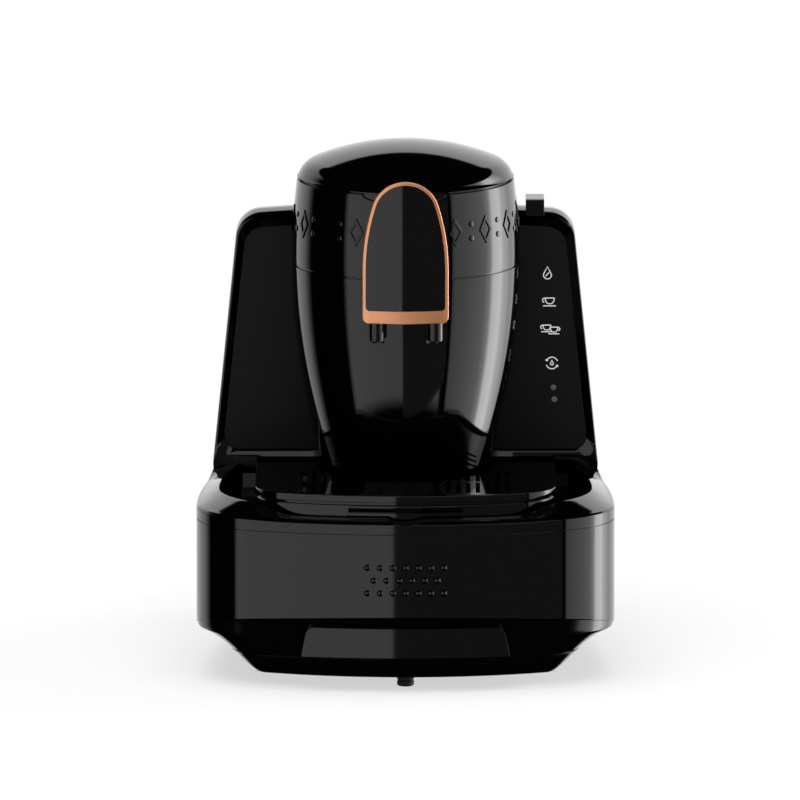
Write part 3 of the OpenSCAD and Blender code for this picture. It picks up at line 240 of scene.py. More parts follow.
def linear(code: str) -> tuple[float, float, float, float]:
    """Linear colour of an sRGB hex value such as #1c1c1c."""
    raw = [int(code[i : i + 2], 16) / 255 for i in (1, 3, 5)]
    r, g, b = (c / 12.92 if c <= 0.04045 else ((c + 0.055) / 1.055) ** 2.4 for c in raw)
    return (r, g, b, 1.0)


def add(tree: bpy.types.NodeTree, kind: str, given: dict[str, Any] | None = None, **settings: Any) -> Any:
    """Adds a node with its settings, and sets or links its sockets.

    Args:
        tree: Node tree that receives the node.
        kind: Blender's type name of the node.
        given: Socket name or number to a value, or to an output socket to link.
        settings: Properties of the node.

    Returns:
        The new node.
    """
    made = tree.nodes.new(kind)
    for key, value in settings.items():
        setattr(made, key, value)
    for key, value in (given or {}).items():
        socket = made.inputs[key]
        if isinstance(value, bpy.types.NodeSocket):
            tree.links.new(value, socket)
        else:
            socket.default_value = value
    return made


class Grain(Enum):
    """How a surface was made; each finish keeps it, though the relief is drawn the same way for all of them.
    """

    POLISHED = "polished"
    ERODED = "eroded"
    BRUSHED = "brushed"
    CAST = "cast"


@dataclass(frozen=True)
class Finish:
    """A material of the real machine and how its surface was made."""

    name: str
    slot: str
    colour: str
    rough: float
    grain: Grain = Grain.ERODED
    pitch_mm: float = 0.6
    height_mm: float = 0.02
    metallic: float = 0.0
    ior: float = 1.5
    coat: float = 0.0
    glow: float = 0.0
    clear: float = 0.0
    vary: float = 0.1
    along: Place = (1.0, 1.0, 1.0)

    def material(self) -> bpy.types.Material:
        """The finish as a material, made once and then shared."""
        found = bpy.data.materials.get(self.name)
        if found:
            return found
        mat = bpy.data.materials.new(self.name)
        mat.use_nodes = True
        tree = mat.node_tree
        tree.nodes.clear()
        where = add(tree, "ShaderNodeTexCoord").outputs["Object"]
        turned = add(tree, "ShaderNodeMapping", {"Vector": where, "Scale": self.along}).outputs[0]
        # one cycle of the relief every pitch_mm, and slow tone changes about 30 times as wide
        fine = add(
            tree,
            "ShaderNodeTexNoise",
            {"Vector": turned, "Scale": 1000 / self.pitch_mm, "Detail": 2.0, "Roughness": 0.5},
        ).outputs["Fac"]
        slow = add(
            tree,
            "ShaderNodeTexNoise",
            {"Vector": where, "Scale": 1000 / (self.pitch_mm * 30 + 20), "Detail": 3.0},
        ).outputs["Fac"]
        rough = add(
            tree,
            "ShaderNodeMapRange",
            {
                "Value": slow,
                1: 0.3,
                2: 0.7,
                3: self.rough * (1 - self.vary),
                4: self.rough * (1 + self.vary),
            },
        ).outputs[0]
        base = linear(self.colour)
        darker = tuple(c * 0.93 for c in base[:3]) + (1.0,)
        tone = add(
            tree, "ShaderNodeMix", {0: slow, 6: darker, 7: base}, data_type="RGBA"
        ).outputs[2]
        bump = add(
            tree,
            "ShaderNodeBump",
            {"Height": fine, "Distance": self.height_mm * MM, "Strength": 1.0},
        ).outputs[0]
        shader = add(
            tree,
            "ShaderNodeBsdfPrincipled",
            {
                "Base Color": tone,
                "Roughness": rough,
                "Metallic": self.metallic,
                "IOR": self.ior,
                "Normal": bump,
                "Coat Weight": self.coat,
                "Coat Roughness": 0.03,
                "Transmission Weight": self.clear,
                "Emission Color": base,
                "Emission Strength": self.glow,
            },
        )
        add(tree, "ShaderNodeOutputMaterial", {"Surface": shader.outputs[0]})
        mat.diffuse_color = base
        return mat


# Polished high-gloss ABS: deep black, mirror-like, with the faint waviness of a moulded skin
GLOSS_ABS = Finish("gloss_black_abs", "gloss_black", "#020203", 0.06, Grain.POLISHED, 9.0, 0.004)
# Panel under the touch symbols and its twin: gloss black, with the sheen of the studio light on it painted as
# a deep even grey base colour under a thin, low-reflecting skin
PANEL_PAINTED_SHEEN = Finish("panel_painted_sheen", "gloss_black", "#202021", 0.16, Grain.POLISHED, 7.0, 0.003, ior=1.09)
# Satin ABS of the tub and the chute: soft sheen over a fine spark-eroded grain
SATIN_ABS = Finish("satin_black_abs", "satin_black", "#040405", 0.12, Grain.ERODED, 0.7, 0.02)
# Textured ABS of inner mouldings: dull, sandy grain
GRAINED_ABS = Finish("grained_black_abs", "matt_black", "#1d1d1e", 0.55, Grain.ERODED, 0.6, 0.05)
# Moulded rubber: dull and slightly greyed
MOULDED_RUBBER = Finish("moulded_rubber", "rubber_black", "#0e0e0e", 0.75, Grain.CAST, 0.8, 0.04)
# Copper-coloured metallic lacquer: warm satin metal under a clear coat, with tiny flakes
COPPER_LACQUER = Finish(
    "copper_lacquer", "copper_gloss", "#f7aa7a", 0.42, Grain.CAST, 0.5, 0.004, 0.8, coat=0.6
)
# Translucent acrylic light guide behind a printed symbol
LIT_ACRYLIC = Finish("lit_acrylic", "light_guide", "#dcdcdc", 0.4, Grain.POLISHED, 1.0, 0.002, glow=0.35)
# The same acrylic with its lamp off
DIM_ACRYLIC = Finish("dim_acrylic", "light_guide", "#6a6a6a", 0.35, Grain.POLISHED, 1.0, 0.002)
# Green solder mask over etched copper
SOLDER_MASK = Finish("solder_mask", "circuit_board", "#1b5a35", 0.35, Grain.POLISHED, 1.2, 0.03)
# Smoked SAN of the water tank: clear, dark, smooth
SMOKED_SAN = Finish(
    "smoked_san", "smoked_tank", "#6d7276", 0.05, Grain.POLISHED, 8.0, 0.004, ior=1.56, clear=0.85
)
# Zinc-plated steel: bluish, slightly uneven brightness
ZINC_STEEL = Finish("zinc_plated_steel", "steel", "#b6b9bf", 0.32, Grain.CAST, 1.5, 0.01, 1.0)
# Brushed stainless steel of the pot: fine lines round the pot
BRUSHED_STEEL = Finish(
    "brushed_stainless", "pot_steel", "#c4c2be", 0.27, Grain.BRUSHED, 0.5, 0.012, 1.0, along=(0.06, 0.06, 1.0)
)
# Grey glass-filled nylon of the pump
NYLON = Finish("glass_filled_nylon", "pump_plastic", "#b4b4ae", 0.5, Grain.ERODED, 0.7, 0.04)
# White silicone and acetal of hoses, valve and pinion
WHITE_SILICONE = Finish("white_silicone", "white_plastic", "#dad9d2", 0.42, Grain.ERODED, 1.0, 0.01)


# ---- shapes ----


class Shape:
    """A mesh under construction, in millimetres, made with bmesh operators."""

    def __init__(self) -> None:
        """Starts with nothing."""
        self.bm = bmesh.new()

    def sweep(
        self, rings: Sequence[Sequence[Place]], closed: bool = False, caps: bool = True
    ) -> "Shape":
        """Skins a stack of closed rings by extruding the first one from ring to ring.

        Args:
            rings: Rings with the same number of points.
            closed: Whether the last ring joins the first.
            caps: Whether the two ends are filled.

        Returns:
            This shape.
        """
        bm = self.bm
        n = len(rings[0])
        row = [bm.verts.new(p) for p in rings[0]]
        edges = [bm.edges.new((row[i], row[(i + 1) % n])) for i in range(n)]
        ends = [list(row)]
        for ring in list(rings[1:]) + ([rings[0]] if closed else []):
            made = bmesh.ops.extrude_edge_only(bm, edges=edges)["geom"]
            order = {v: i for i, v in enumerate(row)}
            fresh = {g for g in made if isinstance(g, bmesh.types.BMVert)}
            placed: list[Any] = [None] * n
            for v in fresh:
                old = next(e.other_vert(v) for e in v.link_edges if e.other_vert(v) in order)
                placed[order[old]] = v
            edges = [
                g
                for g in made
                if isinstance(g, bmesh.types.BMEdge) and g.verts[0] in fresh and g.verts[1] in fresh
            ]
            row = placed
            for v, p in zip(row, ring):
                v.co = p
        if closed:
            bmesh.ops.remove_doubles(bm, verts=bm.verts, dist=1e-4)
        elif caps:
            bm.faces.new(list(reversed(ends[0])))
            bm.faces.new(row)
        return self.outward()

    def turn(self, section: Sequence[Flat], centre: Flat = (0.0, 0.0), steps: int = 192) -> "Shape":
        """Spins a closed section of (radius, height) points about an upright axis.

        Args:
            section: Closed outline of the section.
            centre: Where the axis stands.
            steps: Number of steps of the full turn.

        Returns:
            This shape.
        """
        verts = [self.bm.verts.new((centre[0] + r, centre[1], z)) for r, z in section]
        n = len(verts)
        edges = [self.bm.edges.new((verts[i], verts[(i + 1) % n])) for i in range(n)]
        bmesh.ops.spin(
            self.bm,
            geom=verts + edges,
            cent=(centre[0], centre[1], 0),
            axis=(0, 0, 1),
            angle=math.tau,
            steps=steps,
            use_merge=True,
            use_duplicate=False,
        )
        bmesh.ops.remove_doubles(self.bm, verts=self.bm.verts, dist=1e-4)
        return self.outward()

    def patch(self, columns: int, rows: int, shape: Callable[[float, float], Place], thick: Place) -> "Shape":
        """A curved panel: a grid laid on a surface, then given thickness.

        Args:
            columns: Cells across.
            rows: Cells up.
            shape: Maps u and v, both from 0 to 1, to a point of the front.
            thick: Offset from the front to the back.

        Returns:
            This shape.
        """
        bm = self.bm
        made = bmesh.ops.create_grid(bm, x_segments=columns, y_segments=rows, size=0.5)["verts"]
        for v in made:
            v.co = shape(v.co.x + 0.5, v.co.y + 0.5)
        back = bmesh.ops.extrude_face_region(bm, geom=list(bm.faces), use_keep_orig=True)["geom"]
        bmesh.ops.translate(bm, verts=[g for g in back if isinstance(g, bmesh.types.BMVert)], vec=thick)
        bmesh.ops.remove_doubles(bm, verts=bm.verts, dist=1e-4)
        return self.outward()

    def join(self, other: "Shape", matrix: Matrix | None = None) -> "Shape":
        """Adds another shape's mesh to this one, moved by matrix."""
        mesh = bpy.data.meshes.new("join")
        other.bm.to_mesh(mesh)
        if matrix:
            mesh.transform(matrix)
            if matrix.determinant() < 0:
                mesh.flip_normals()
        self.bm.from_mesh(mesh)
        bpy.data.meshes.remove(mesh)
        return self

    def outward(self) -> "Shape":
        """Turns all faces outwards."""
        bmesh.ops.recalc_face_normals(self.bm, faces=self.bm.faces)
        return self

    def object(self) -> bpy.types.Object:
        """A bare object of the mesh, still in millimetres."""
        mesh = bpy.data.meshes.new("shape")
        self.bm.to_mesh(mesh)
        made = bpy.data.objects.new("shape", mesh)
        bpy.context.scene.collection.objects.link(made)
        return made

    def carve(self, tool: "Shape", how: str = "DIFFERENCE") -> "Shape":
        """Cuts this shape with another one.

        Args:
            tool: Closed shape that cuts.
            how: Blender's name of the operation.

        Returns:
            This shape.
        """
        mine, cutter = self.object(), tool.object()
        cut = mine.modifiers.new("cut", "BOOLEAN")
        cut.operation, cut.object, cut.solver = how, cutter, "EXACT"
        bpy.context.view_layer.update()
        done = bpy.data.meshes.new_from_object(mine.evaluated_get(bpy.context.evaluated_depsgraph_get()))
        self.bm.free()
        self.bm = bmesh.new()
        self.bm.from_mesh(done)
        for thing in (mine, cutter):
            data = thing.data
            bpy.data.objects.remove(thing)
            bpy.data.meshes.remove(data)
        bpy.data.meshes.remove(done)
        return self


def level(outline: Sequence[Flat], z: float | Callable[[float, float], float]) -> list[Place]:
    """An outline laid flat at height z, or at a height that depends on the place."""
    return [(x, y, z(x, y) if callable(z) else z) for x, y in outline]


def upright(outline: Sequence[Flat], y: float) -> list[Place]:
    """A front outline of (x, z) points stood up at depth y."""
    return [(x, y, z) for x, z in outline]


def block(lo: Place, hi: Place, soften: float = 0.0) -> Shape:
    """A box between two corners.

    Args:
        lo: Lowest corner.
        hi: Highest corner.
        soften: Width of the bevel along its edges.

    Returns:
        The box.
    """
    made = Shape()
    size = [b - a for a, b in zip(lo, hi)]
    middle = [(a + b) / 2 for a, b in zip(lo, hi)]
    bmesh.ops.create_cube(made.bm, size=1.0, matrix=Matrix.Translation(middle) @ Matrix.Diagonal((*size, 1)))
    if soften:
        bmesh.ops.bevel(
            made.bm,
            geom=list(made.bm.edges),
            offset=soften,
            segments=3,
            profile=0.5,
            affect="EDGES",
            material=-1,
        )
    return made


def rod(at: Place, r: float, length: float, along: str = "z", steps: int = 48) -> Shape:
    """A cylinder that starts at a point and runs along x, y or z."""
    made = Shape()
    turn = {
        "z": Matrix(),
        "x": Matrix.Rotation(math.pi / 2, 4, "Y"),
        "y": Matrix.Rotation(-math.pi / 2, 4, "X"),
    }
    matrix = Matrix.Translation(at) @ turn[along] @ Matrix.Translation((0, 0, length / 2))
    bmesh.ops.create_cone(
        made.bm, cap_ends=True, segments=steps, radius1=r, radius2=r, depth=length, matrix=matrix
    )
    return made


def ribbon(points: Sequence[Flat], width: float, y: float, thick: float, loop: bool = False) -> Shape:
    """A printed line of constant width on a front face, drawn in x and z.

    Args:
        points: Middle line.
        width: Width of the line.
        y: Depth of the line's back.
        thick: How far it stands proud.
        loop: Whether the line closes on itself.

    Returns:
        The line as a thin solid.
    """
    n = len(points)
    rings: list[list[Place]] = []
    for i, p in enumerate(points):
        a = Vector(points[(i - 1) % n] if loop or i else p)
        b = Vector(points[(i + 1) % n] if loop or i < n - 1 else p)
        t = (b - a).normalized()
        side = Vector((-t.y, t.x)) * width / 2
        one, two = Vector(p) + side, Vector(p) - side
        corners = ((one, y), (one, y - thick), (two, y - thick), (two, y))
        rings.append([(edge.x, depth, edge.y) for edge, depth in corners])
    return Shape().sweep(rings, closed=loop)


def finish_piece(
    name: str,
    shape: Shape,
    finish: Finish,
    body: str,
    nodes: Iterable[str] = (),
    bevel_mm: float = 0.0,
    sharp: float = 38.0,
) -> bpy.types.Object:
    """Turns a shape into a finished piece of the machine.

    Args:
        name: Name of the piece.
        shape: Its mesh in millimetres.
        finish: Its material.
        body: Body of the frame that it rides on.
        nodes: CAD nodes that it stands for.
        bevel_mm: Width of the bevel along its sharp edges, or 0.
        sharp: Angle in degrees above which an edge stays sharp.

    Returns:
        The piece.
    """
    bm = shape.bm
    bmesh.ops.scale(bm, vec=(MM, MM, MM), verts=bm.verts)
    bm.normal_update()
    for face in bm.faces:
        face.smooth = True
    for edge in bm.edges:
        edge.smooth = len(edge.link_faces) == 2 and edge.calc_face_angle(0.0) < math.radians(sharp)
    mesh = bpy.data.meshes.new(name)
    bm.to_mesh(mesh)
    bm.free()
    mesh.materials.append(finish.material())
    piece = bpy.data.objects.new(name, mesh)
    bpy.context.scene.collection.objects.link(piece)
    if bevel_mm:
        bevel = piece.modifiers.new("edges", "BEVEL")
        bevel.width, bevel.segments, bevel.limit_method = bevel_mm * MM, 2, "ANGLE"
        bevel.angle_limit = math.radians(sharp)
        bevel.use_clamp_overlap = True
        bevel.miter_outer = "MITER_ARC"
    even = piece.modifiers.new("even_shading", "WEIGHTED_NORMAL")
    even.keep_sharp = not bevel_mm
    even.weight = 60
    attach(piece, body)
    if nodes:
        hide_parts(*nodes)
    LOG.info("%s: %d faces on %s", name, len(mesh.polygons), body)
    return piece


def adopt(node: str, finish: Finish, bevel_mm: float = 0.0, sharp: float = 32.0) -> bpy.types.Object:
    """A merged copy of a CAD node with even shading and eased edges, which stands for the node.

    Args:
        node: CAD node.
        finish: Its material.
        bevel_mm: Width of the bevel along its sharp edges, or 0.
        sharp: Angle in degrees above which an edge stays sharp.

    Returns:
        The new piece.
    """
    source = frame["nodes"][node]
    shape = Shape()
    shape.bm.from_mesh(source.data)
    bmesh.ops.scale(shape.bm, vec=(1000, 1000, 1000), verts=shape.bm.verts)
    bmesh.ops.remove_doubles(shape.bm, verts=shape.bm.verts, dist=2e-3)
    bmesh.ops.dissolve_degenerate(shape.bm, edges=shape.bm.edges, dist=2e-3)
    if bevel_mm:
        bmesh.ops.dissolve_limit(
            shape.bm, angle_limit=math.radians(0.6), verts=shape.bm.verts, edges=shape.bm.edges
        )
    return finish_piece(node + "_dressed", shape, finish, source["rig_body"], [node], bevel_mm, sharp)


# ---- the machine ----


@dataclass
class Base:
    """Gloss housing, satin tub with its front pad, feet and deck."""

    wall: float = 2.6
    front_edge: float = 40.0
    side_edge: float = 25.0
    edge_run: float = 71.0
    foot_h: float = 6.0
    pip_pitch: float = 6.7
    pip_row: float = 6.75
    pip_r: float = 1.7
    pip_h: float = 0.85
    pip_z: float = 60.2
    rim: float = 12.0
    # (inset, height) of the deck's outer edge, from the wall to the flat
    rim_edge: tuple[Flat, ...] = (
        (0.0, 89.8), (0.12, 90.25), (0.35, 90.65), (0.9, 91.1), (1.5, 91.35), (2.2, 91.5),
    )
    crest: float = 5.5
    foot_tilt: float = 3.0
    crest_fade: Flat = (58.0, 84.0)
    front_round: float = 0.7
    wing_foot_z: float = 96.0
    sweep_start: float = -9.0
    well_back: float = 16.0
    tuck: float = 0.45
    pad_hw: float = 51.8
    pad_top: float = 34.2
    pad_low: float = 18.6
    # height, then how far the chin draws in at the front and at the sides; a crease runs at 16.6
    bowl: tuple[Place, ...] = (
        (44.0, 0.6, 0.6), (30.0, 5.6, 0.6), (28.0, 6.1, 0.8),
        (27.2, 6.3, 1.4), (26.0, 6.6, 3.8), (24.0, 7.1, 7.6),
        (21.4, 7.7, 11.6), (19.0, 8.3, 14.9), (17.2, 8.8, 17.2), (17.0, 9.6, 18.2), (16.3, 9.8, 18.9),
        (16.1, 9.2, 18.3), (14.5, 9.6, 20.2), (12.9, 10.2, 22.3), (10.5, 11.0, 26.0), (8.3, 12.2, 31.0),
        (7.0, 13.3, 35.0), (6.3, 14.1, 38.0), (6.0, 14.7, 40.0),
    )

    def low_edge(self, _x: float, y: float) -> float:
        """Height of the housing's lower edge at depth y."""
        t = max(0.0, (-PLAN.depth / 2 + self.edge_run - y) / self.edge_run)
        return self.side_edge + (self.front_edge - self.side_edge) * min(t, 1.05)

    def pip(self) -> Shape:
        """One raised dot, whose axis is +Z."""
        dome = (self.pip_r**2 + self.pip_h**2) / (2 * self.pip_h)
        top = [
            (self.pip_r * k / 5, math.sqrt(dome**2 - (self.pip_r * k / 5) ** 2) - dome + self.pip_h)
            for k in range(6)
        ]
        return Shape().turn(top + [(self.pip_r, -0.3), (0.0, -0.3)], steps=20)

    def housing(self) -> Shape:
        """The gloss wall round the base, with its pips and rear openings."""
        low, soft = self.low_edge, 0.6
        levels: list[tuple[float, Any]] = [
            (self.wall, lambda x, y: low(x, y)),
            (soft, lambda x, y: low(x, y)),
            (soft * 0.3, lambda x, y: low(x, y) + soft * 0.3),
            (0.0, lambda x, y: low(x, y) + soft),
            (0.0, lambda x, y: low(x, y) + 8),
            (0.0, SEAM_Z - 8),
            (0.0, SEAM_Z - soft),
            (soft * 0.3, SEAM_Z - soft * 0.3),
            (soft, SEAM_Z),
            (self.wall, SEAM_Z),
        ]
        shape = Shape().sweep([level(PLAN.outline(i), z) for i, z in levels], closed=True)
        shape.carve(block((25.5, 120, 40.5), (46.5, 140, 55.5), 0.4))
        shape.carve(rod((-40, 120, 48), 6, 20, "y"))
        for row in (-1, 0, 1):
            count = 6 if row == 0 else 7
            for i in range(count):
                x = (i - (count - 1) / 2) * self.pip_pitch
                y = PLAN.front[1] - math.sqrt(PLAN.front_r**2 - x**2)
                lean = math.asin(x / PLAN.front_r)
                place = Matrix.Translation((x, y, self.pip_z + row * self.pip_row))
                turn = Matrix.Rotation(lean, 4, "Z") @ Matrix.Rotation(math.pi / 2, 4, "X")
                shape.join(self.pip(), place @ turn)
        return shape

    def chin(self, inset: float) -> Shape:
        """The tub's outer form, drawn in by inset."""
        rings = []
        for z, front_in, side_in in self.bowl:
            ring = []
            for (x, y), (u, v) in zip(PLAN.outline(0), PLAN.outline(1)):
                n = Vector((x - u, y - v)).normalized()
                ahead = max(0.0, -n.y) ** 2 if n.y < 0 else 0.0
                amount = inset + front_in * ahead + side_in * n.x**2 + 0.9 * max(0.0, n.y) ** 2
                ring.append((x - n.x * amount, y - n.y * amount, z + (inset if z < 7 else 0)))
            rings.append(ring)
        return Shape().sweep(list(reversed(rings)))

    def tub(self) -> Shape:
        """The recessed satin chin with its vents; the front pad is a piece of its own."""
        shape = self.chin(0.0).carve(self.chin(self.wall))
        lid = Shape().sweep(
            [level(PLAN.outline(-6), lambda x, y: self.low_edge(x, y) + 3.5), level(PLAN.outline(-6), 90.0)]
        )
        shape.carve(lid)
        for i in range(-4, 5):
            shape.carve(block((i * 8 - 1.5, 30, 0), (i * 8 + 1.5, 62, 12)))
        return shape

    def pad(self) -> Shape:
        """The smooth raised pad on the chin's front, wider at its foot, with two rounded upper corners."""
        r = 4.0
        rise = self.pad_top - self.pad_low
        rows = [rise - r + r * math.sin(math.pi / 2 * k / 8) for k in range(9)]
        rows = [(rise - r) * k / 6 for k in range(6)] + rows

        def front(u: float, v: float) -> Place:
            h = rows[min(int(round(v * (len(rows) - 1))), len(rows) - 1)]
            over = max(0.0, h - (rise - r))
            x = (2 * u - 1) * (self.pad_hw + 3.0 * (1 - h / rise) - r + math.sqrt(r * r - over * over))
            return (x, PLAN.front[1] - math.sqrt((PLAN.front_r - 1.1) ** 2 - x**2), self.pad_low + h)

        return Shape().patch(40, len(rows) - 1, front, (0, 11.0, 0))

    def shoulder(self, inset: float, x: float, y: float) -> float:
        """Height of the deck's top, which climbs to the well's edge and sweeps up to the wings' feet.

        Args:
            inset: Distance inside the base's outline.
            x: Place across.
            y: Depth.

        Returns:
            The height.
        """
        spots = self.rim_edge
        flat_from, z = spots[-1]
        for (i0, z0), (i1, z1) in zip(spots, spots[1:]):
            if i0 <= inset < i1:
                z = z0 + (z1 - z0) * (inset - i0) / (i1 - i0)
        if y > self.well_back - 1.0:
            return z
        t = min(max((abs(x) - self.crest_fade[0]) / (self.crest_fade[1] - self.crest_fade[0]), 0.0), 1.0)
        shown = t * t * (3 - 2 * t)
        z -= (spots[-1][1] - z) * self.front_round * (1 - shown)
        run = max(inset - flat_from, 0.0)
        share = run / max(run + max(WELL.outside(x, y), 0.0), 0.01)
        lift = min(max((y - self.sweep_start) / (TOWER_Y + 1.6 - self.sweep_start), 0.0), 1.0) ** 2
        climb = self.crest * shown * share
        return z + climb + (self.wing_foot_z + self.foot_tilt * (share - 0.5) - z - climb) * lift

    def deck(self) -> Shape:
        """The deck with its swept shoulders, well, finger notch and openings."""
        outer, inner = (mirrored(PLAN.half(i, 4)) for i in (0.0, 1.0))

        def ring(inset: float, flat: float | None = None) -> list[Place]:
            """One ring of the deck, flat at a height or laid on the shoulder."""
            made = []
            for (x, y), (u, v) in zip(outer, inner):
                k = inset
                if flat is None:
                    k = max(inset, self.tuck * min(max((y - self.sweep_start) / 20.0, 0.0), 1.0))
                a, b = x + (u - x) * k, y + (v - y) * k
                made.append((a, b, self.shoulder(inset, a, b) if flat is None else flat))
            return made

        rings = [ring(3.0, SEAM_Z), ring(0.6, SEAM_Z), ring(0.6, SEAM_Z + 0.6), ring(0.0, SEAM_Z + 0.6)]
        rings += [ring(i) for i, _ in self.rim_edge] + [ring(2.2 + 1.8 * k) for k in range(1, 14)]
        shape = Shape().sweep(rings + [ring(28.0, RIM_Z)])
        cut = [level(WELL.front_part(0.5, self.well_back), WELL_Z)]
        for back, drop in ((0.0, -0.9), (-0.2, -0.35), (-0.6, -0.1), (-1.1, 0.1)):
            plan = WELL.front_part(back, self.well_back)
            cut.append([(x, y, self.shoulder(FAR, x, min(y, self.well_back - 1.2)) + drop) for x, y in plan])
        cut.append(level(WELL.front_part(-1.1, self.well_back), 110.0))
        shape.carve(Shape().sweep(cut))
        shape.carve(rod((0, -140, RIM_Z + 22.0), 24, 30, "y", 192))
        shape.carve(rod((0, HEAD_Y, SEAM_Z - 1), barrel(RIM_Z) - 1.2, 20, "z", 192))
        shape.carve(rod((0, 92, SEAM_Z - 1), 11, 20))
        return shape

    def foot(self, x: float, y: float, r: float, h: float) -> Shape:
        """A rubber foot with a rounded sole and one groove."""
        section = [(0.0, 0.0), (r - 1.0, 0.0), (r - 0.3, 0.3), (r, 1.0), (r, 2.4), (r - 0.5, 2.8)]
        section += [(r - 0.5, 3.2), (r, 3.6), (r, h), (0.0, h)]
        return Shape().turn(section, (x, y), 48)

    def build(self) -> None:
        """Makes the base's pieces."""
        finish_piece("housing", self.housing(), GLOSS_ABS, "base", ["base_housing"])
        finish_piece("tub", self.tub(), SATIN_ABS, "base", ["bottom_tub"])
        finish_piece("front_pad", self.pad(), GLOSS_ABS, "base", bevel_mm=0.7, sharp=50.0)
        finish_piece("deck_top", self.deck(), GLOSS_ABS, "base", ["deck"])
        front = self.foot(0, -107, 4.5, self.foot_h)
        finish_piece("foot_front", front, MOULDED_RUBBER, "base", ["front_foot"])
        feet = Shape()
        for s in (-1, 1):
            feet.join(self.foot(s * 74.5, -64, 4.5, self.foot_h + 3))
            feet.join(self.foot(s * 62, 96, 7, self.foot_h + 1))
        finish_piece("feet_sides", feet, MOULDED_RUBBER, "base", ["side_feet"])


@dataclass
class CupStation:
    """Drip tray and the slotted grille on it."""

    hw: float = 79.0
    front: float = 109.0
    front_r: float = 210.0
    corner_r: float = 24.0
    back: float = 6.0
    tray_z: float = 87.8
    tray_h: float = 8.2
    tray_wall: float = 2.4
    grille_z: float = 97.5
    grille_t: float = 3.8
    pitch: float = 5.1
    slot_w: float = 2.3
    slots: int = 7
    cup_x: float = 38.0
    barrel_gap: float = 5.2

    def outline(self, inset: float) -> list[Flat]:
        """Plan of the tray, drawn in by inset, without the barrel's cut."""
        c = (0.0, -self.front + self.front_r)
        x = self.hw - self.corner_r
        cc = (x, c[1] - math.sqrt((self.front_r - self.corner_r) ** 2 - x**2))
        a = heading(c, cc)
        half = arc(c, self.front_r - inset, -90, a, 24) + arc(cc, self.corner_r - inset, a, 0, 16)[1:]
        return mirrored(half + [(self.hw - inset, -self.back - inset)])

    def layer(self, levels: Sequence[tuple[float, float]]) -> Shape:
        """A stack of the tray's outlines, given as (inset, height)."""
        return Shape().sweep([level(self.outline(i), z) for i, z in levels])

    def room(self, inset: float, z0: float, z1: float) -> Shape:
        """What the barrel takes from the tray between two heights."""
        return rod((0, HEAD_Y, z0), barrel(self.grille_z) + self.barrel_gap + inset, z1 - z0, "z", 192)

    def tray(self) -> Shape:
        """The tray's open tub with its finger notch and raised inner edge."""
        z, top = self.tray_z, self.tray_z + self.tray_h
        body = [(0.6, z), (0.0, z + 0.6), (0.9, top - 0.5), (1.3, top), (2.0, top), (2.0, top + 1.5)]
        shape = self.layer(body).carve(self.room(0, z - 1, top + 4))
        hollow = self.layer([(2 + self.tray_wall, z + self.tray_wall), (2 + self.tray_wall, top + 4)])
        hollow.carve(self.room(2 + self.tray_wall, z, top + 5))
        shape.carve(hollow)
        notch = self.layer([(-6, z + 4), (-6, z + 6.8)]).carve(self.layer([(2.2, z + 3), (2.2, z + 8)]))
        notch.carve(block((-30, -FAR, z + 3), (30, 0, z + 8)), "INTERSECT")
        return shape.carve(notch)

    def grille(self) -> Shape:
        """The cup grille with two fields of slots and a skirt."""
        z, t = self.grille_z, self.grille_t
        shape = self.layer([(0.3, z), (0.0, z + 0.3), (0.0, z + t - 0.9), (0.26, z + t - 0.26), (0.9, z + t)])
        shape.carve(self.room(0, z - 1, z + t + 1))
        hollow = self.layer([(3, z - 1), (3, z + t - 2.4)]).carve(self.room(3, z - 2, z + t))
        for s in (-1, 1):
            hollow.carve(block((s * 22 - 2, -FAR, z - 2), (s * 22 + 2, FAR, z + t)))
        shape.carve(hollow)
        slots = Shape()
        for s in (-1, 1):
            for i in range(self.slots):
                x = s * self.cup_x + (i - (self.slots - 1) / 2) * self.pitch
                for y in (-99, -65):
                    half = self.slot_w / 2
                    slots.join(block((x - half, y, z - 1), (x + half, y + 30, z + t + 1)))
        return shape.carve(slots)

    def build(self) -> None:
        """Makes the tray and the grille."""
        finish_piece("tray", self.tray(), GLOSS_ABS, "tray", ["drip_tray"])
        finish_piece("grille_plate", self.grille(), GLOSS_ABS, "grille", ["cup_grille"])


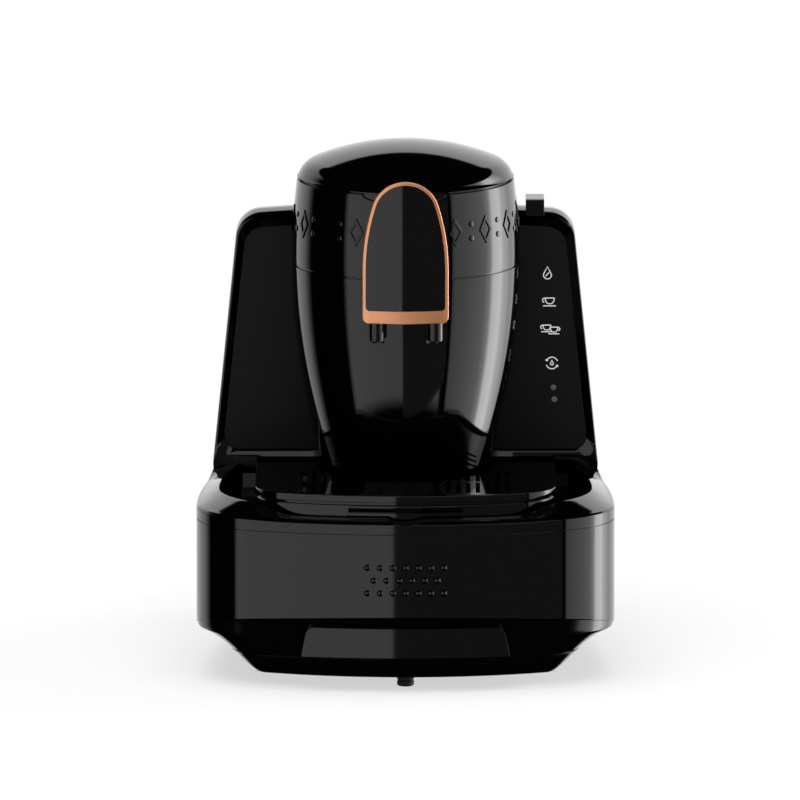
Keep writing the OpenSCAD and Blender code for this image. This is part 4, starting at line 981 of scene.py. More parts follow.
@dataclass
class Head:
    """Column, head ring with its ornament, and lid."""

    wall: float = 2.6
    lid_top: float = 275.0
    crown_r: float = 130.0
    shoulder_r: float = 13.0
    lid_wall: float = 2.4
    band_z: float = 24.0
    motifs: int = 7
    motif_step: float = 9.6
    first_motif: float = 26.0
    relief: float = 0.6

    def shell(self, z0: float, z1: float, rows: int) -> list[Flat]:
        """Closed section of the barrel's wall, with eased edges."""
        e = 0.45
        heights = [z0 + e + (z1 - z0 - 2 * e) * k / rows for k in range(rows + 1)]
        skin = [(barrel(z), z) for z in heights]
        inner = [(barrel(z) - self.wall, z) for z in (z1, (z0 + z1) / 2, z0)]
        low, top = (barrel(z0) - e, z0), (barrel(z1) - e, z1)
        mid_low, mid_top = (barrel(z0) - e * 0.3, z0 + e * 0.3), (barrel(z1) - e * 0.3, z1 - e * 0.3)
        return [low, mid_low] + skin + [mid_top, top] + inner

    def column(self) -> Shape:
        """The lower half of the barrel, open behind the nose."""
        shape = Shape().turn(self.shell(WELL_Z, LOW_SEAM_Z - SEAM_GAP, 40), (0, HEAD_Y))
        shape.carve(block((-19.5, -FAR, NOSE_Z - 1), (19.5, HEAD_Y - 30, NOSE_Z + 16)))
        for s in (-1, 1):
            shape.carve(rod((s * SPOUT_X, SPOUT_Y, NOSE_Z - 11.8), 5.3, 12.8))
        neck = [(barrel(LOW_SEAM_Z) - 2.6, LOW_SEAM_Z - 3), (barrel(LOW_SEAM_Z) - 0.9, LOW_SEAM_Z - 3)]
        neck += [(barrel(LOW_SEAM_Z) - 0.9, LOW_SEAM_Z), (barrel(LOW_SEAM_Z) - 2.6, LOW_SEAM_Z)]
        shape.join(Shape().turn(neck, (0, HEAD_Y)))
        ledge = barrel(165) - self.wall
        shelf = [(ledge - 7, 162), (ledge + 1, 162), (ledge + 1, 165), (ledge - 7, 165)]
        shape.join(Shape().turn(shelf, (0, HEAD_Y)))
        return shape

    def on_barrel(self, angle: float, u: float, w: float, out: float) -> Place:
        """A point of the head ring's skin.

        Args:
            angle: Direction of the motif in degrees from the front.
            u: Sideways distance from the motif's middle.
            w: Height above the motif's middle.
            out: Distance outside the skin.

        Returns:
            The point.
        """
        z = LOW_SEAM_Z + self.band_z + w
        r = barrel(z)
        turn = math.radians(angle) + u / r
        return ((r + out) * math.sin(turn), HEAD_Y - (r + out) * math.cos(turn), z)

    def ornament(self) -> Shape:
        """Lozenges and dots in low relief, on both sides of the ring."""
        shape = Shape()
        for s in (-1, 1):
            for i in range(self.motifs):
                angle = s * (self.first_motif + i * self.motif_step)
                if i % 2 == 0:
                    loops = [(4.5, 7.5, -0.4), (4.5, 7.5, 0.35), (4.2, 7.0, self.relief)]
                    loops += [(3.0, 5.0, self.relief), (2.7, 4.5, 0.35), (2.7, 4.5, -0.4)]
                    rings = []
                    for w, h, out in loops:
                        corners = [(w, 0.0), (0.0, h), (-w, 0.0), (0.0, -h)]
                        points = [
                            (a[0] + (b[0] - a[0]) * k / 4, a[1] + (b[1] - a[1]) * k / 4)
                            for a, b in zip(corners, corners[1:] + corners[:1])
                            for k in range(4)
                        ]
                        rings.append([self.on_barrel(angle, u, v, out) for u, v in points])
                    shape.join(Shape().sweep(rings, closed=True))
                else:
                    for at in (-3.75, 3.75):
                        rings = [
                            [
                                self.on_barrel(angle, r * math.cos(a), at + r * math.sin(a), out)
                                for a in circle_steps(20)
                            ]
                            for r, out in ((1.5, -0.4), (1.5, 0.3), (1.2, 0.52), (0.6, self.relief))
                        ]
                        shape.join(Shape().sweep(rings))
        return shape

    def recess(self) -> Shape:
        """The shallow finger recess under the lid's front edge, cut from the ring's top."""
        r, top = barrel(UP_SEAM_Z), UP_SEAM_Z - SEAM_GAP
        rings = []
        for k in range(33):
            turn = math.radians(-24 + 48 * k / 32)
            low = top - 0.05 - 4.2 * math.sqrt(max(1 - abs(k / 16 - 1) ** 3, 0.0))
            section = [(r - 1.6, low + 0.6), (r - 1.2, low), (r + 2, low)]
            section += [(r + 2, top + 1), (r - 1.6, top + 1)]
            rings.append([(a * math.sin(turn), HEAD_Y - a * math.cos(turn), z) for a, z in section])
        return Shape().sweep(rings)

    def ring(self) -> Shape:
        """The upper half of the barrel with its ornament and the hinge's ears."""
        top = UP_SEAM_Z - SEAM_GAP
        shape = Shape().turn(self.shell(LOW_SEAM_Z, top, 16), (0, HEAD_Y))
        r = barrel(UP_SEAM_Z)
        lip = [(r - 4.6, top - 1.4), (r - 2.2, top - 1.4), (r - 2.2, UP_SEAM_Z), (r - 4.6, UP_SEAM_Z)]
        shape.join(Shape().turn(lip, (0, HEAD_Y)))
        shape.carve(self.recess())
        y, z = HINGE
        side = [(y - 5, 240), (y - 2.5, 240), (y + 3.7, z - 1.2)]
        side += arc((y, z), 4, -15, 180, 16) + [(y - 5, 255)]
        for x0 in (-18.0, 12.3):
            ear = Shape().sweep([[(x, a, b) for a, b in side] for x in (x0, x0 + 5.7)])
            shape.join(ear.carve(rod((x0 - 1, y, z), 2.05, 9, "x")))
        return shape.join(self.ornament())

    def dome(self, t: float) -> list[Flat]:
        """Right half of the lid's outer curve, drawn in by t, from the middle to the rim."""
        edge = barrel(UP_SEAM_Z)
        c = (0.0, self.lid_top - self.crown_r)
        x = edge - self.shoulder_r
        s = (x, c[1] + math.sqrt((self.crown_r - self.shoulder_r) ** 2 - x**2))
        a = heading(c, s)
        z0 = UP_SEAM_Z + SEAM_GAP
        curve = arc(c, self.crown_r - t, 90, a, 24) + arc(s, self.shoulder_r - t, a, 0, 14)[1:]
        return [p for p in curve if p[1] > z0 + 0.5] + [(edge - t, z0 + 0.4), (edge - t - 0.4 * (t == 0), z0)]

    def lid(self) -> Shape:
        """The domed lid with its finger recess, spigot and hinge knuckle."""
        outer, inner = self.dome(0), self.dome(self.lid_wall)
        shape = Shape().turn(outer + list(reversed(inner)), (0, HEAD_Y))
        edge, z0 = barrel(UP_SEAM_Z), UP_SEAM_Z + SEAM_GAP
        lens = []
        for k in range(33):
            turn = math.radians(-38 + 76 * k / 32)
            x = edge * math.sin(turn)
            top = z0 - 40 + math.sqrt(43.5**2 - x**2)
            section = [(edge - 1.6, z0 - 3), (edge + 4, z0 - 3), (edge + 4, top), (edge - 1.6, top)]
            low = z0 - 3 + 0.01
            lens.append([(r * math.sin(turn), HEAD_Y - r * math.cos(turn), max(z, low)) for r, z in section])
        shape.carve(Shape().sweep(lens))
        spigot = edge - 8
        skirt = [(spigot, z0 - 3.5), (spigot + 2, z0 - 3.5), (spigot + 2, z0)]
        skirt += [(edge - 1.8, z0), (edge - 1.8, z0 + 2), (spigot, z0 + 2)]
        shape.join(Shape().turn(skirt, (0, HEAD_Y)))
        y, z = HINGE
        side = arc((y, z), 4, -90, 90, 16) + [(y - 7, z + 4), (y - 4, z - 0.6)]
        knuckle = Shape().sweep([[(x, a, b) for a, b in side] for x in (-12, 12)])
        return shape.join(knuckle.carve(rod((-20, y, z), 2.05, 40, "x")))

    def build(self) -> None:
        """Makes the barrel and its lid."""
        finish_piece("column", self.column(), GLOSS_ABS, "base", ["column_shell"])
        finish_piece("ring", self.ring(), GLOSS_ABS, "base", ["head_ring"])
        finish_piece("lid_dome", self.lid(), GLOSS_ABS, "lid", ["lid"])
        adopt("lid_liner", GRAINED_ABS, 0.3)
        adopt("lid_seal", MOULDED_RUBBER)
        adopt("hinge_pin", ZINC_STEEL, 0.3)


def circle_steps(n: int) -> list[float]:
    """n equal directions round a circle, in radians."""
    return [math.tau * k / n for k in range(n)]


@dataclass
class Nose:
    """Arched nose with its copper frame, gloss plate, spouts and chute."""

    hw: float = 22.6
    arch_r: float = 18.0
    start: float = 27.6
    frame_w: float = 1.8
    bar: float = 6.6
    frame_t: float = 1.7
    spout_r: float = 4.3
    bore: float = 2.8
    spout_l: float = 9.8

    def half_width(self, z: float, inset: float = 0.0, low: float = 0.0) -> float:
        """Half the nose's width at height z, with its outline drawn in."""
        top = NOSE_Z + NOSE_H
        tc, z0 = top - self.arch_r, NOSE_Z + self.start
        dz = tc - z0
        r = (self.hw**2 + dz**2 - self.arch_r**2) / (2 * (self.hw - self.arch_r))
        zt = z0 + r * dz / (r - self.arch_r)
        foot = 3 - min(inset, 1)
        if z >= zt - 0.01:
            return math.sqrt(max((self.arch_r - inset) ** 2 - (z - tc) ** 2, 0.0))
        if z >= z0:
            return self.hw - r + math.sqrt((r - inset) ** 2 - (z - z0) ** 2)
        d = NOSE_Z + low + foot - z
        round_in = foot - math.sqrt(max(foot**2 - max(d, 0.0) ** 2, 0.0))
        return self.hw - inset - round_in

    def heights(self, inset: float = 0.0, low: float = 0.0) -> list[float]:
        """Heights of the rows from the lower edge to the top, closer where the outline turns."""
        bottom, top = NOSE_Z + low, NOSE_Z + NOSE_H - inset
        foot = 3 - min(inset, 1)
        first = [bottom + foot * (1 - math.cos(math.pi / 2 * k / 6)) for k in range(6)]
        mid = [bottom + foot + (top - 15 - bottom - foot) * k / 12 for k in range(12)]
        last = [top - 15 + 15 * math.sin(math.pi / 2 * k / 20) for k in range(21)]
        return first + mid + last

    def outline(self, inset: float = 0.0, low: float = 0.0) -> list[Flat]:
        """Closed front outline, drawn in by inset, with its lower edge raised by low."""
        rows = [(self.half_width(z, inset, low), z) for z in self.heights(inset, low)]
        right = [(0.0, rows[0][1]), *rows[:-1], (0.0, rows[-1][1])]
        return mirrored(right)

    def on_face(self, outline: Sequence[Flat], out: float) -> list[Place]:
        """An outline laid on the nose's round face, out from it."""
        r = FACE_R + out
        return [(x, HEAD_Y - math.sqrt(r * r - x * x), z) for x, z in outline]

    def body(self) -> Shape:
        """The nose's shell, which hugs the barrel."""
        rings = [
            [(x, HEAD_Y - math.sqrt((FACE_R - 16) ** 2 - x * x), z) for x, z in self.outline()],
            self.on_face(self.outline(), -6),
            self.on_face(self.outline(), -0.3),
            self.on_face(self.outline(0.3), 0),
            self.on_face(self.outline(2.6), 0),
        ]
        shape = Shape().sweep(rings)
        room = [(0.0, NOSE_Z - 12), (barrel(NOSE_Z - 12) + 0.3, NOSE_Z - 12)]
        room += [(barrel(z) + 0.3, z) for z in (185, 195, 205, 215, 225, 235, 245, UP_SEAM_Z)]
        room += [(barrel(UP_SEAM_Z) + 0.3, 290), (0.0, 290)]
        shape.carve(Shape().turn(room, (0, HEAD_Y)))
        inner = [
            [(x, HEAD_Y - math.sqrt((FACE_R - 20) ** 2 - x * x), z) for x, z in self.outline(2.4, 8)],
            self.on_face(self.outline(2.4, 8), -2.4),
        ]
        shape.carve(Shape().sweep(inner))
        for s in (-1, 1):
            shape.carve(rod((s * SPOUT_X, SPOUT_Y, NOSE_Z - 1), self.bore, 20))
        return shape

    def trim(self) -> Shape:
        """The copper frame, a softly rounded band round the plate."""
        t, w, bar, e = self.frame_t, self.frame_w, self.bar, 0.35
        o, p = self.outline, self.on_face
        rings = [p(o(0), 0), p(o(0), t - e), p(o(e * 0.3), t - e * 0.3), p(o(e), t)]
        rings += [p(o(w - e, bar - e), t), p(o(w - e * 0.3, bar - e * 0.3), t - e * 0.3), p(o(w, bar), t - e)]
        rings += [p(o(w, bar), 0)]
        return Shape().sweep(rings, closed=True)

    def plate(self) -> Shape:
        """The gloss plate inside the frame, a smooth curved panel with eased edges."""
        inset, low = self.frame_w + 0.08, self.bar + 0.08
        rows = self.heights(inset, low)
        r = FACE_R + self.frame_t - 0.6

        def front(u: float, v: float) -> Place:
            k = min(int(round(v * (len(rows) - 1))), len(rows) - 1)
            x = (2 * u - 1) * self.half_width(rows[k], inset, low)
            return (x, HEAD_Y - math.sqrt(r * r - x * x), rows[k])

        return Shape().patch(24, len(rows) - 1, front, (0, 1.0, 0))

    def spout(self, s: int) -> Shape:
        """A spout: a glossy tube with a rounded mouth."""
        z, r, b = NOSE_Z - self.spout_l, self.spout_r, self.bore
        section = [(b, z + 0.5), (b + 0.3, z + 0.1), (b + 0.7, z), (r - 0.7, z)]
        section += [(r - 0.2, z + 0.2), (r, z + 0.7), (r, NOSE_Z - 0.05), (b, NOSE_Z - 0.05)]
        return Shape().turn(section, (s * SPOUT_X, SPOUT_Y), 64)

    def build(self) -> None:
        """Makes the nose's pieces."""
        finish_piece("nose_shell", self.body(), GLOSS_ABS, "nose", ["nose_body"])
        finish_piece("copper_frame", self.trim(), COPPER_LACQUER, "nose", ["nose_trim"])
        finish_piece("gloss_plate", self.plate(), GLOSS_ABS, "nose", ["nose_plate"])
        finish_piece("spout_left", self.spout(-1), GLOSS_ABS, "nose", ["left_spout"])
        finish_piece("spout_right", self.spout(1), GLOSS_ABS, "nose", ["right_spout"])
        adopt("pour_chute", SATIN_ABS, 0.25)


@dataclass
class Tower:
    """Two-winged tower with its recessed panels and touch symbols."""

    crown: float = 235.1
    crown_r: float = 1000.0
    ridge_y: float = 23.2
    camber: float = 0.009
    foot_hw: float = 102.3
    lean: float = 0.1
    corner_r: float = 14.0
    rim_side: float = 4.6
    panel_low: float = 13.0
    panel_drop: float = 3.9
    pocket_r: float = 15.0

    def side_x(self, z: float) -> float:
        """Half width of the tower at height z."""
        return self.foot_hw - (z - RIM_Z) * self.lean

    def outline(
        self, inset: float = 0.0, low: float = 0.0, drop: float = 0.0, corner: float = 0.0, heel: float = 0.05
    ) -> list[Flat]:
        """Closed front outline of the tower.

        Args:
            inset: Distance inside the silhouette.
            low: Height of its foot above the rim's plane.
            drop: How far the crown is lowered.
            corner: Radius of the silhouette's upper corners, or 0 for the usual one.
            heel: Radius of the lower corners.

        Returns:
            The outline.
        """
        corner_r = corner or self.corner_r
        slope = math.atan(self.lean)
        top = (0.0, self.crown - self.crown_r)
        z = self.crown - 12
        for _ in range(4):
            x = self.side_x(z) - corner_r / math.cos(slope)
            z = top[1] + math.sqrt((self.crown_r - corner_r) ** 2 - x * x)
        x = self.side_x(z) - corner_r / math.cos(slope)
        a = heading(top, (x, z))
        small = max(corner_r - inset, 1.0)
        k = max(0.0, 1.0 - corner_r + inset)
        foot = RIM_Z + low
        edge = self.side_x(foot) - inset / math.cos(slope)
        half = [(0.0, foot)] + arc((edge - heel * 1.1, foot + heel), heel, -90, math.degrees(slope), 6)
        half += arc((x - k, z - k), small, math.degrees(slope), a, 12)
        last = x - k + small * math.cos(math.radians(a)) - 0.4
        half += [p for p in arc(top, self.crown_r - inset, a, 90, 16) if p[0] < last]
        return mirrored([(p[0], p[1] - (drop if p[1] > foot + 20 else 0)) for p in half])

    def fall(self, y: float) -> float:
        """How far the cambered crown lies below its ridge at depth y."""
        return self.camber * (y - self.ridge_y) ** 2

    def body(self) -> Shape:
        """The tower's housing with its panel recesses and parting line."""
        levels = [(1.3, 12.0), (0.4, 12.4), (0.0, 13.3), (0.0, 14.4), (0.0, 15.6), (0.0, 17.0)]
        levels += [(0.0, 19.0), (0.0, 21.1), (0.45, 21.15), (0.45, 21.6), (0.0, 21.65)]
        levels += [(0.0, 27.0), (0.0, 35.0), (0.0, 43.0)]
        levels += [(0.0, TOWER_BACK - 0.6), (0.6, TOWER_BACK)]
        shape = Shape().sweep([upright(self.outline(i, 0.0, self.fall(y)), y) for i, y in levels])
        base = [level(PLAN.outline(0.3), z) for z in (RIM_Z, 240.0)]
        shape.carve(Shape().sweep(base), "INTERSECT")
        low, side = self.panel_low, self.rim_side
        out = 0.9
        sill = low - 3.5
        deep, shallow = self.panel_drop, self.fall(TOWER_Y) + 0.2
        pocket = [(side, 16.2, deep, low), (side, 14.0, deep, low)]
        pocket += [(out, 12.0, shallow, sill), (out, 11.0, shallow, sill)]
        rings = [upright(self.outline(i, foot, d, self.pocket_r, 7.0), y) for i, y, d, foot in pocket]
        cut = Shape().sweep(rings)
        cut.carve(block((-30, 0, 80), (30, 30, 250)))
        shape.carve(cut)
        lip = [(11.0, RIM_Z + sill), (12.0, RIM_Z + sill), (14.6, RIM_Z - 0.5), (11.0, RIM_Z - 0.5)]
        shape.carve(Shape().sweep([[(x, y, z) for y, z in lip] for x in (-120, 120)]))
        room = Shape().sweep([upright(self.outline(2.6, 3), 18.6), upright(self.outline(2.6, 3), 46.9)])
        inner = Shape().sweep([level(PLAN.outline(2.9), RIM_Z), level(PLAN.outline(2.9), 240.0)])
        shape.carve(room.carve(inner, "INTERSECT"))
        return shape.carve(self.barrel_room())

    def barrel_room(self) -> Shape:
        """What the barrel takes from the tower and its panels."""
        skin = [(barrel(z) + 0.3, z) for z in range(86, 238, 6)]
        return Shape().turn([(0.0, 86.0), *skin, (0.0, skin[-1][1])], (0, HEAD_Y), 128)

    def panel(self, s: int) -> Shape:
        """One recessed panel, a flat gloss plate with eased edges."""
        low, side = self.panel_low, self.rim_side
        levels = [(side + 0.1, 16.0), (side + 0.1, 14.3), (side + 0.2, 14.08), (side + 0.5, 14.0)]
        drop, r = self.panel_drop, self.pocket_r
        rings = [upright(self.outline(i, low + i - side, drop, r, 7.0), y) for i, y in levels]
        shape = Shape().sweep(rings)
        keep = block((30, 0, 80), (130, 30, 250)) if s > 0 else block((-130, 0, 80), (-30, 30, 250))
        return shape.carve(keep, "INTERSECT").carve(self.barrel_room())

    def build(self) -> None:
        """Makes the tower and its panels."""
        finish_piece("tower_housing", self.body(), GLOSS_ABS, "base", ["tower"])
        # both panels' even grey is painted sheen of the studio light on gloss black, not a tint of their own
        finish_piece("panel_left", self.panel(-1), PANEL_PAINTED_SHEEN, "base", ["left_panel"])
        finish_piece("panel_right", self.panel(1), PANEL_PAINTED_SHEEN, "base", ["control_panel"])
        Symbols().build()
        adopt("touch_board", SOLDER_MASK)


@dataclass
class Symbols:
    """Touch symbols and lamps printed on the right panel."""

    y: float = 14.0
    thick: float = 0.1
    line: float = 0.55
    flame: Flat = (74.9, 198.9)
    cup: Flat = (76.0, 183.6)
    cups: Flat = (76.2, 168.9)
    clean: Flat = (77.3, 150.7)
    lamps: tuple[Flat, Flat] = ((78.1, 137.6), (78.6, 131.3))

    def stroke(self, at: Flat, points: Sequence[Flat], loop: bool = False) -> Shape:
        """A printed line whose points are given from the symbol's middle."""
        return ribbon([(at[0] + x, at[1] + z) for x, z in points], self.line, self.y, self.thick, loop)

    def cup_lines(self, at: Flat, size: float = 1.0, facing: int = -1) -> Shape:
        """A small cup with a handle on one side, over a saucer's line."""
        k = size
        bowl = [(-2.4 * k, 1.9 * k), (2.6 * k, 1.9 * k)]
        side = [(x * k, 0.2 * k + z * k) for x, z in ((2.6, 1.7), (2.3, 0.0), (1.4, -1.2), (0.1, -1.5))]
        other = [(0.2 * k - (x - 0.1 * k), z) for x, z in reversed(side)]
        shape = self.stroke(at, bowl)
        shape.join(self.stroke(at, side)).join(self.stroke(at, other))
        ear = [(p[0] * k * facing, p[1] * k) for p in arc((2.6, 0.7), 1.1, 100, -80, 8)]
        shape.join(self.stroke(at, ear))
        return shape.join(self.stroke(at, [(-3.4 * k, -2.3 * k), (3.4 * k, -2.3 * k)]))

    def build(self) -> None:
        """Makes the symbols and the lamps."""
        drop = [(0.0, 3.4)] + arc((0.0, -1.1), 2.1, 40, -220, 20)
        shape = self.stroke(self.flame, drop, True)
        shape.join(self.stroke(self.flame, [(-1.0, -1.7), (0.9, 0.3)]))
        shape.join(self.cup_lines(self.cup))
        shape.join(self.cup_lines((self.cups[0] - 1.7, self.cups[1] + 0.5), 0.85))
        shape.join(self.cup_lines((self.cups[0] + 2.1, self.cups[1] - 0.6), 0.85, 1))
        for a in (20, 200):
            ring = arc((0.0, 0.0), 3.1, a, a + 140, 16)
            shape.join(self.stroke(self.clean, ring))
            end, way = Vector(ring[-1]), math.radians(a + 140 + 90)
            for bend in (2.5, -2.5):
                tail = end + 1.1 * Vector((math.cos(way + bend), math.sin(way + bend)))
                shape.join(self.stroke(self.clean, [tuple(end), tuple(tail)]))
        small = [(0.0, 1.5)] + arc((0.0, -0.3), 0.8, 40, -220, 10)
        shape.join(self.stroke(self.clean, small, True))
        finish_piece("touch_symbols", shape, LIT_ACRYLIC, "base", ["light_guides"], sharp=30)
        lamps = Shape()
        for x, z in self.lamps:
            rings = [
                [(x + r * math.cos(a), y, z + r * math.sin(a)) for a in circle_steps(28)]
                for r, y in ((1.5, 14.0), (1.5, 13.95), (1.35, 13.9))
            ]
            lamps.join(Shape().sweep(rings))
        finish_piece("panel_lamps", lamps, DIM_ACRYLIC, "base")


@dataclass
class WaterSide:
    """Water tank behind the tower, with its lid, hinge and foot valve."""

    def build(self) -> None:
        """Makes the tank's pieces."""
        adopt("water_tank", SMOKED_SAN, 0.5)
        adopt("tank_lid", GLOSS_ABS, 0.4)
        adopt("tank_hinge_ears", SMOKED_SAN, 0.3)
        adopt("tank_hinge_pin", ZINC_STEEL, 0.2)
        adopt("valve_cap", WHITE_SILICONE, 0.2)
        adopt("valve_plunger", WHITE_SILICONE, 0.2)
        adopt("valve_spring", ZINC_STEEL)
        adopt("tank_socket", GRAINED_ABS, 0.3)
        adopt("socket_seal", MOULDED_RUBBER)


@dataclass
class Works:
    """Pot, tilting mechanism, pump, hoses and electrics."""

    def build(self) -> None:
        """Dresses the inner pieces."""
        adopt("brew_pot", BRUSHED_STEEL, 0.3)
        adopt("pot_cradle", GRAINED_ABS, 0.3)
        adopt("heater_plate", ZINC_STEEL, 0.3)
        adopt("sector_gear", GRAINED_ABS, 0.15)
        adopt("pinion", WHITE_SILICONE, 0.1)
        adopt("motor_shaft", ZINC_STEEL, 0.15)
        adopt("tilt_motor", ZINC_STEEL, 0.3)
        adopt("left_bracket", ZINC_STEEL, 0.2)
        adopt("right_bracket", ZINC_STEEL, 0.2)
        adopt("bracket_screws", ZINC_STEEL, 0.2)
        adopt("base_screws", ZINC_STEEL, 0.2)
        adopt("chassis_plate", GRAINED_ABS, 0.3)
        adopt("pump", NYLON, 0.4)
        adopt("pump_mount", MOULDED_RUBBER, 0.3)
        adopt("inlet_hose", WHITE_SILICONE)
        adopt("outlet_hose", WHITE_SILICONE)
        adopt("water_nozzle", WHITE_SILICONE)
        adopt("power_board", SOLDER_MASK, 0.2)
        adopt("switch_frame", GRAINED_ABS, 0.3)
        adopt("mains_rocker", SATIN_ABS, 0.2)
        adopt("cord_gland", MOULDED_RUBBER, 0.3)


# ---- studio ----


@dataclass
class Studio:
    """Camera, pale floor, lamps and the surroundings that the gloss mirrors."""

    distance: float = 17.5
    rise: float = 10.0
    aim: Place = (-0.0029, 0.0, 0.1333)
    frame_width: float = 0.4221
    ambient: float = 0.4
    sun: float = 2.2
    ceiling: float = 30.0
    pit: float = -30.0
    card_low: float = -0.5
    card_top: float = 0.5
    card_w: float = 1.0
    card_x: float = -0.05
    card_y: float = -1.0
    card_glow: float = 0.125
    floor_lift: float = 0.6
    top_light: float = 8.0
    walls: tuple[Flat, ...] = (
        (-180, 1.1), (-150, 1.0), (-133, 1.0), (-124, 0.85), (-117, 0.3), (-112, 0.0), (-66, 0.0), (-61, 1.1),
        (-20, 1.0), (40, 1.0), (41, 0.0), (48, 0.0), (50, 1.0), (66, 1.3), (80, 1.6), (88, 1.8), (96, 3.0),
        (101, 7.0), (113, 6.5), (119, 3.9), (133, 1.6), (153, 1.3), (180, 1.1),
    )

    def camera(self) -> None:
        """Sets up the camera at the front."""
        data = bpy.data.cameras.new("camera")
        data.sensor_width = 36.0
        data.lens = 36.0 * self.distance / self.frame_width
        data.clip_end = 50.0
        made = bpy.data.objects.new("camera", data)
        bpy.context.scene.collection.objects.link(made)
        up = math.radians(self.rise)
        aim = Vector(self.aim)
        made.location = aim + self.distance * Vector((0, -math.cos(up), math.sin(up)))
        made.rotation_euler = (aim - made.location).to_track_quat("-Z", "Y").to_euler()
        bpy.context.scene.camera = made

    def world(self) -> None:
        """White to the camera; soft boxes, black gaps, a dark ceiling and a dark pit to what mirrors it."""
        world = bpy.data.worlds.new("studio")
        bpy.context.scene.world = world
        world.use_nodes = True
        tree = world.node_tree
        tree.nodes.clear()
        way = add(tree, "ShaderNodeTexCoord").outputs["Generated"]
        x, y, z = add(tree, "ShaderNodeSeparateXYZ", {0: way}).outputs
        ahead = add(tree, "ShaderNodeMath", {0: y, 1: -1.0}, operation="MULTIPLY").outputs[0]
        turn = add(tree, "ShaderNodeMath", {0: x, 1: ahead}, operation="ARCTAN2").outputs[0]
        share = add(tree, "ShaderNodeMapRange", {"Value": turn, 1: -math.pi, 2: math.pi, 3: 0.0, 4: 1.0})
        wall = self.by_bearing(tree, share.outputs[0], self.walls, self.top_light)
        top, low = (math.sin(math.radians(a)) for a in (self.ceiling, self.pit))
        high = add(tree, "ShaderNodeMapRange", {"Value": z, 1: top, 2: top + 0.02, 3: 1.0, 4: 0.0}).outputs[0]
        deep = add(tree, "ShaderNodeMapRange", {"Value": z, 1: low, 2: low - 0.04, 3: 1.0, 4: 0.0}).outputs[0]
        open_wall = add(tree, "ShaderNodeMath", {0: wall, 1: high}, operation="MULTIPLY").outputs[0]
        mirrored_light = add(tree, "ShaderNodeMath", {0: open_wall, 1: deep}, operation="MULTIPLY").outputs[0]
        ray = add(tree, "ShaderNodeLightPath").outputs
        even = (self.ambient, self.ambient, self.ambient, 1.0)
        soft = add(
            tree, "ShaderNodeMix", {0: ray["Is Diffuse Ray"], 6: mirrored_light, 7: even}, data_type="RGBA"
        ).outputs[2]
        seen = add(
            tree, "ShaderNodeMix", {0: ray["Is Camera Ray"], 6: soft, 7: (1, 1, 1, 1)}, data_type="RGBA"
        ).outputs[2]
        lit = add(tree, "ShaderNodeBackground", {"Color": seen, "Strength": 1.0})
        add(tree, "ShaderNodeOutputWorld", {"Surface": lit.outputs[0]})

    def by_bearing(self, tree: bpy.types.NodeTree, share: Any, stops: Sequence[Flat], top: float) -> Any:
        """A brightness that depends on the bearing.

        Args:
            tree: Node tree of the world.
            share: Output that runs from 0 to 1 round the horizon.
            stops: Bearings in degrees with their brightness.
            top: Brightness that the ramp's white stands for.

        Returns:
            The output with the brightness.
        """
        ramp = add(tree, "ShaderNodeValToRGB", {0: share})
        line = ramp.color_ramp
        while len(line.elements) < len(stops):
            line.elements.new(0.5)
        for element, (bearing, v) in zip(line.elements, stops):
            element.position = (bearing + 180) / 360
            element.color = (v / top, v / top, v / top, 1.0)
        return add(tree, "ShaderNodeMath", {0: ramp.outputs[0], 1: top}, operation="MULTIPLY").outputs[0]

    def sheet(self, name: str, size: Flat, matrix: Matrix) -> bpy.types.Object:
        """A flat sheet of the stage.

        Args:
            name: Its name.
            size: Width and height in metres.
            matrix: Its place.

        Returns:
            The sheet.
        """
        shape = Shape()
        place = matrix @ Matrix.Diagonal((size[0], size[1], 1, 1))
        bmesh.ops.create_grid(shape.bm, x_segments=1, y_segments=1, size=0.5, matrix=place)
        mesh = bpy.data.meshes.new(name)
        shape.bm.to_mesh(mesh)
        made = bpy.data.objects.new(name, mesh)
        bpy.context.scene.collection.objects.link(made)
        return made

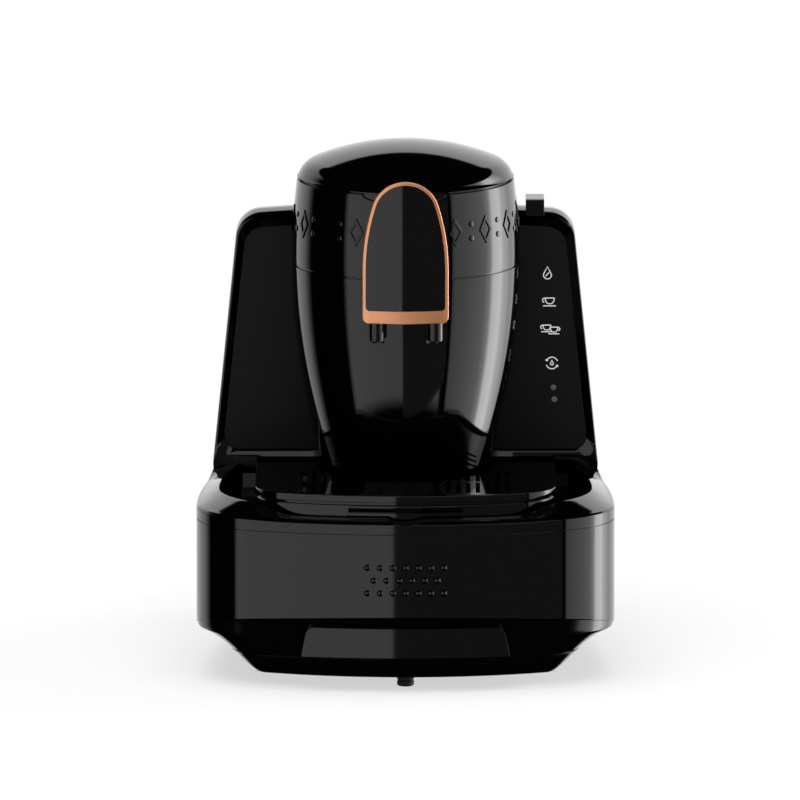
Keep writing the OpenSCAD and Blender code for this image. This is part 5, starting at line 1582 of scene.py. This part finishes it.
    def dark_card(self, name: str, size: Flat, place: Matrix) -> None:
        """A dark card that only gloss mirrors.

        Args:
            name: Its name.
            size: Width and height in metres.
            place: Its middle and its turn.
        """
        card = self.sheet(name, size, place @ Matrix.Rotation(math.pi / 2, 4, "X"))
        card.visible_camera = card.visible_diffuse = card.visible_shadow = card.visible_transmission = False
        mat = bpy.data.materials.new(name)
        mat.use_nodes = True
        tree = mat.node_tree
        tree.nodes.clear()
        shine = add(tree, "ShaderNodeEmission", {"Color": (1, 1, 1, 1), "Strength": self.card_glow})
        add(tree, "ShaderNodeOutputMaterial", {"Surface": shine.outputs[0]})
        card.data.materials.append(mat)

    def cards(self) -> None:
        """The card at the front right."""
        height = self.card_top - self.card_low
        middle = (self.card_x + self.card_w / 2, self.card_y, self.card_low + height / 2)
        self.dark_card("dark_card", (self.card_w, height), Matrix.Translation(middle))

    def floor(self) -> None:
        """A plain pale floor that keeps the machine's soft shadow."""
        made = self.sheet("floor", (60.0, 60.0), Matrix())
        made.visible_glossy = False
        mat = bpy.data.materials.new("pale_floor")
        mat.use_nodes = True
        tree = mat.node_tree
        tree.nodes.clear()
        diffuse = add(tree, "ShaderNodeBsdfDiffuse", {"Color": (0.9, 0.9, 0.9, 1)})
        white = add(tree, "ShaderNodeEmission", {"Color": (1, 1, 1, 1), "Strength": 1.0})
        seen = add(tree, "ShaderNodeLightPath").outputs["Is Camera Ray"]
        lift = add(tree, "ShaderNodeMath", {0: seen, 1: self.floor_lift}, operation="MULTIPLY").outputs[0]
        mixed = add(tree, "ShaderNodeMixShader", {0: lift, 1: diffuse.outputs[0], 2: white.outputs[0]})
        add(tree, "ShaderNodeOutputMaterial", {"Surface": mixed.outputs[0]})
        made.data.materials.append(mat)

    def lamps(self) -> None:
        """One wide, even light from above and in front."""
        data = bpy.data.lights.new("soft_light", "SUN")
        data.energy, data.angle = self.sun, math.radians(60)
        made = bpy.data.objects.new("soft_light", data)
        bpy.context.scene.collection.objects.link(made)
        made.rotation_euler = (math.radians(8), math.radians(-4), 0)
        made.visible_glossy = False

    def build(self) -> None:
        """Sets the stage."""
        self.camera()
        self.world()
        self.floor()
        self.cards()
        self.lamps()


def main() -> None:
    """Builds the studio and the machine."""
    logging.basicConfig(level=logging.INFO, format="%(name)s %(message)s")
    bpy.context.scene.view_settings.view_transform = "Standard"
    Studio().build()
    for part in (Base(), CupStation(), Head(), Nose(), Tower(), WaterSide(), Works()):
        LOG.info("building %s", type(part).__name__)
        part.build()


if __name__ == "__main__":
    main()
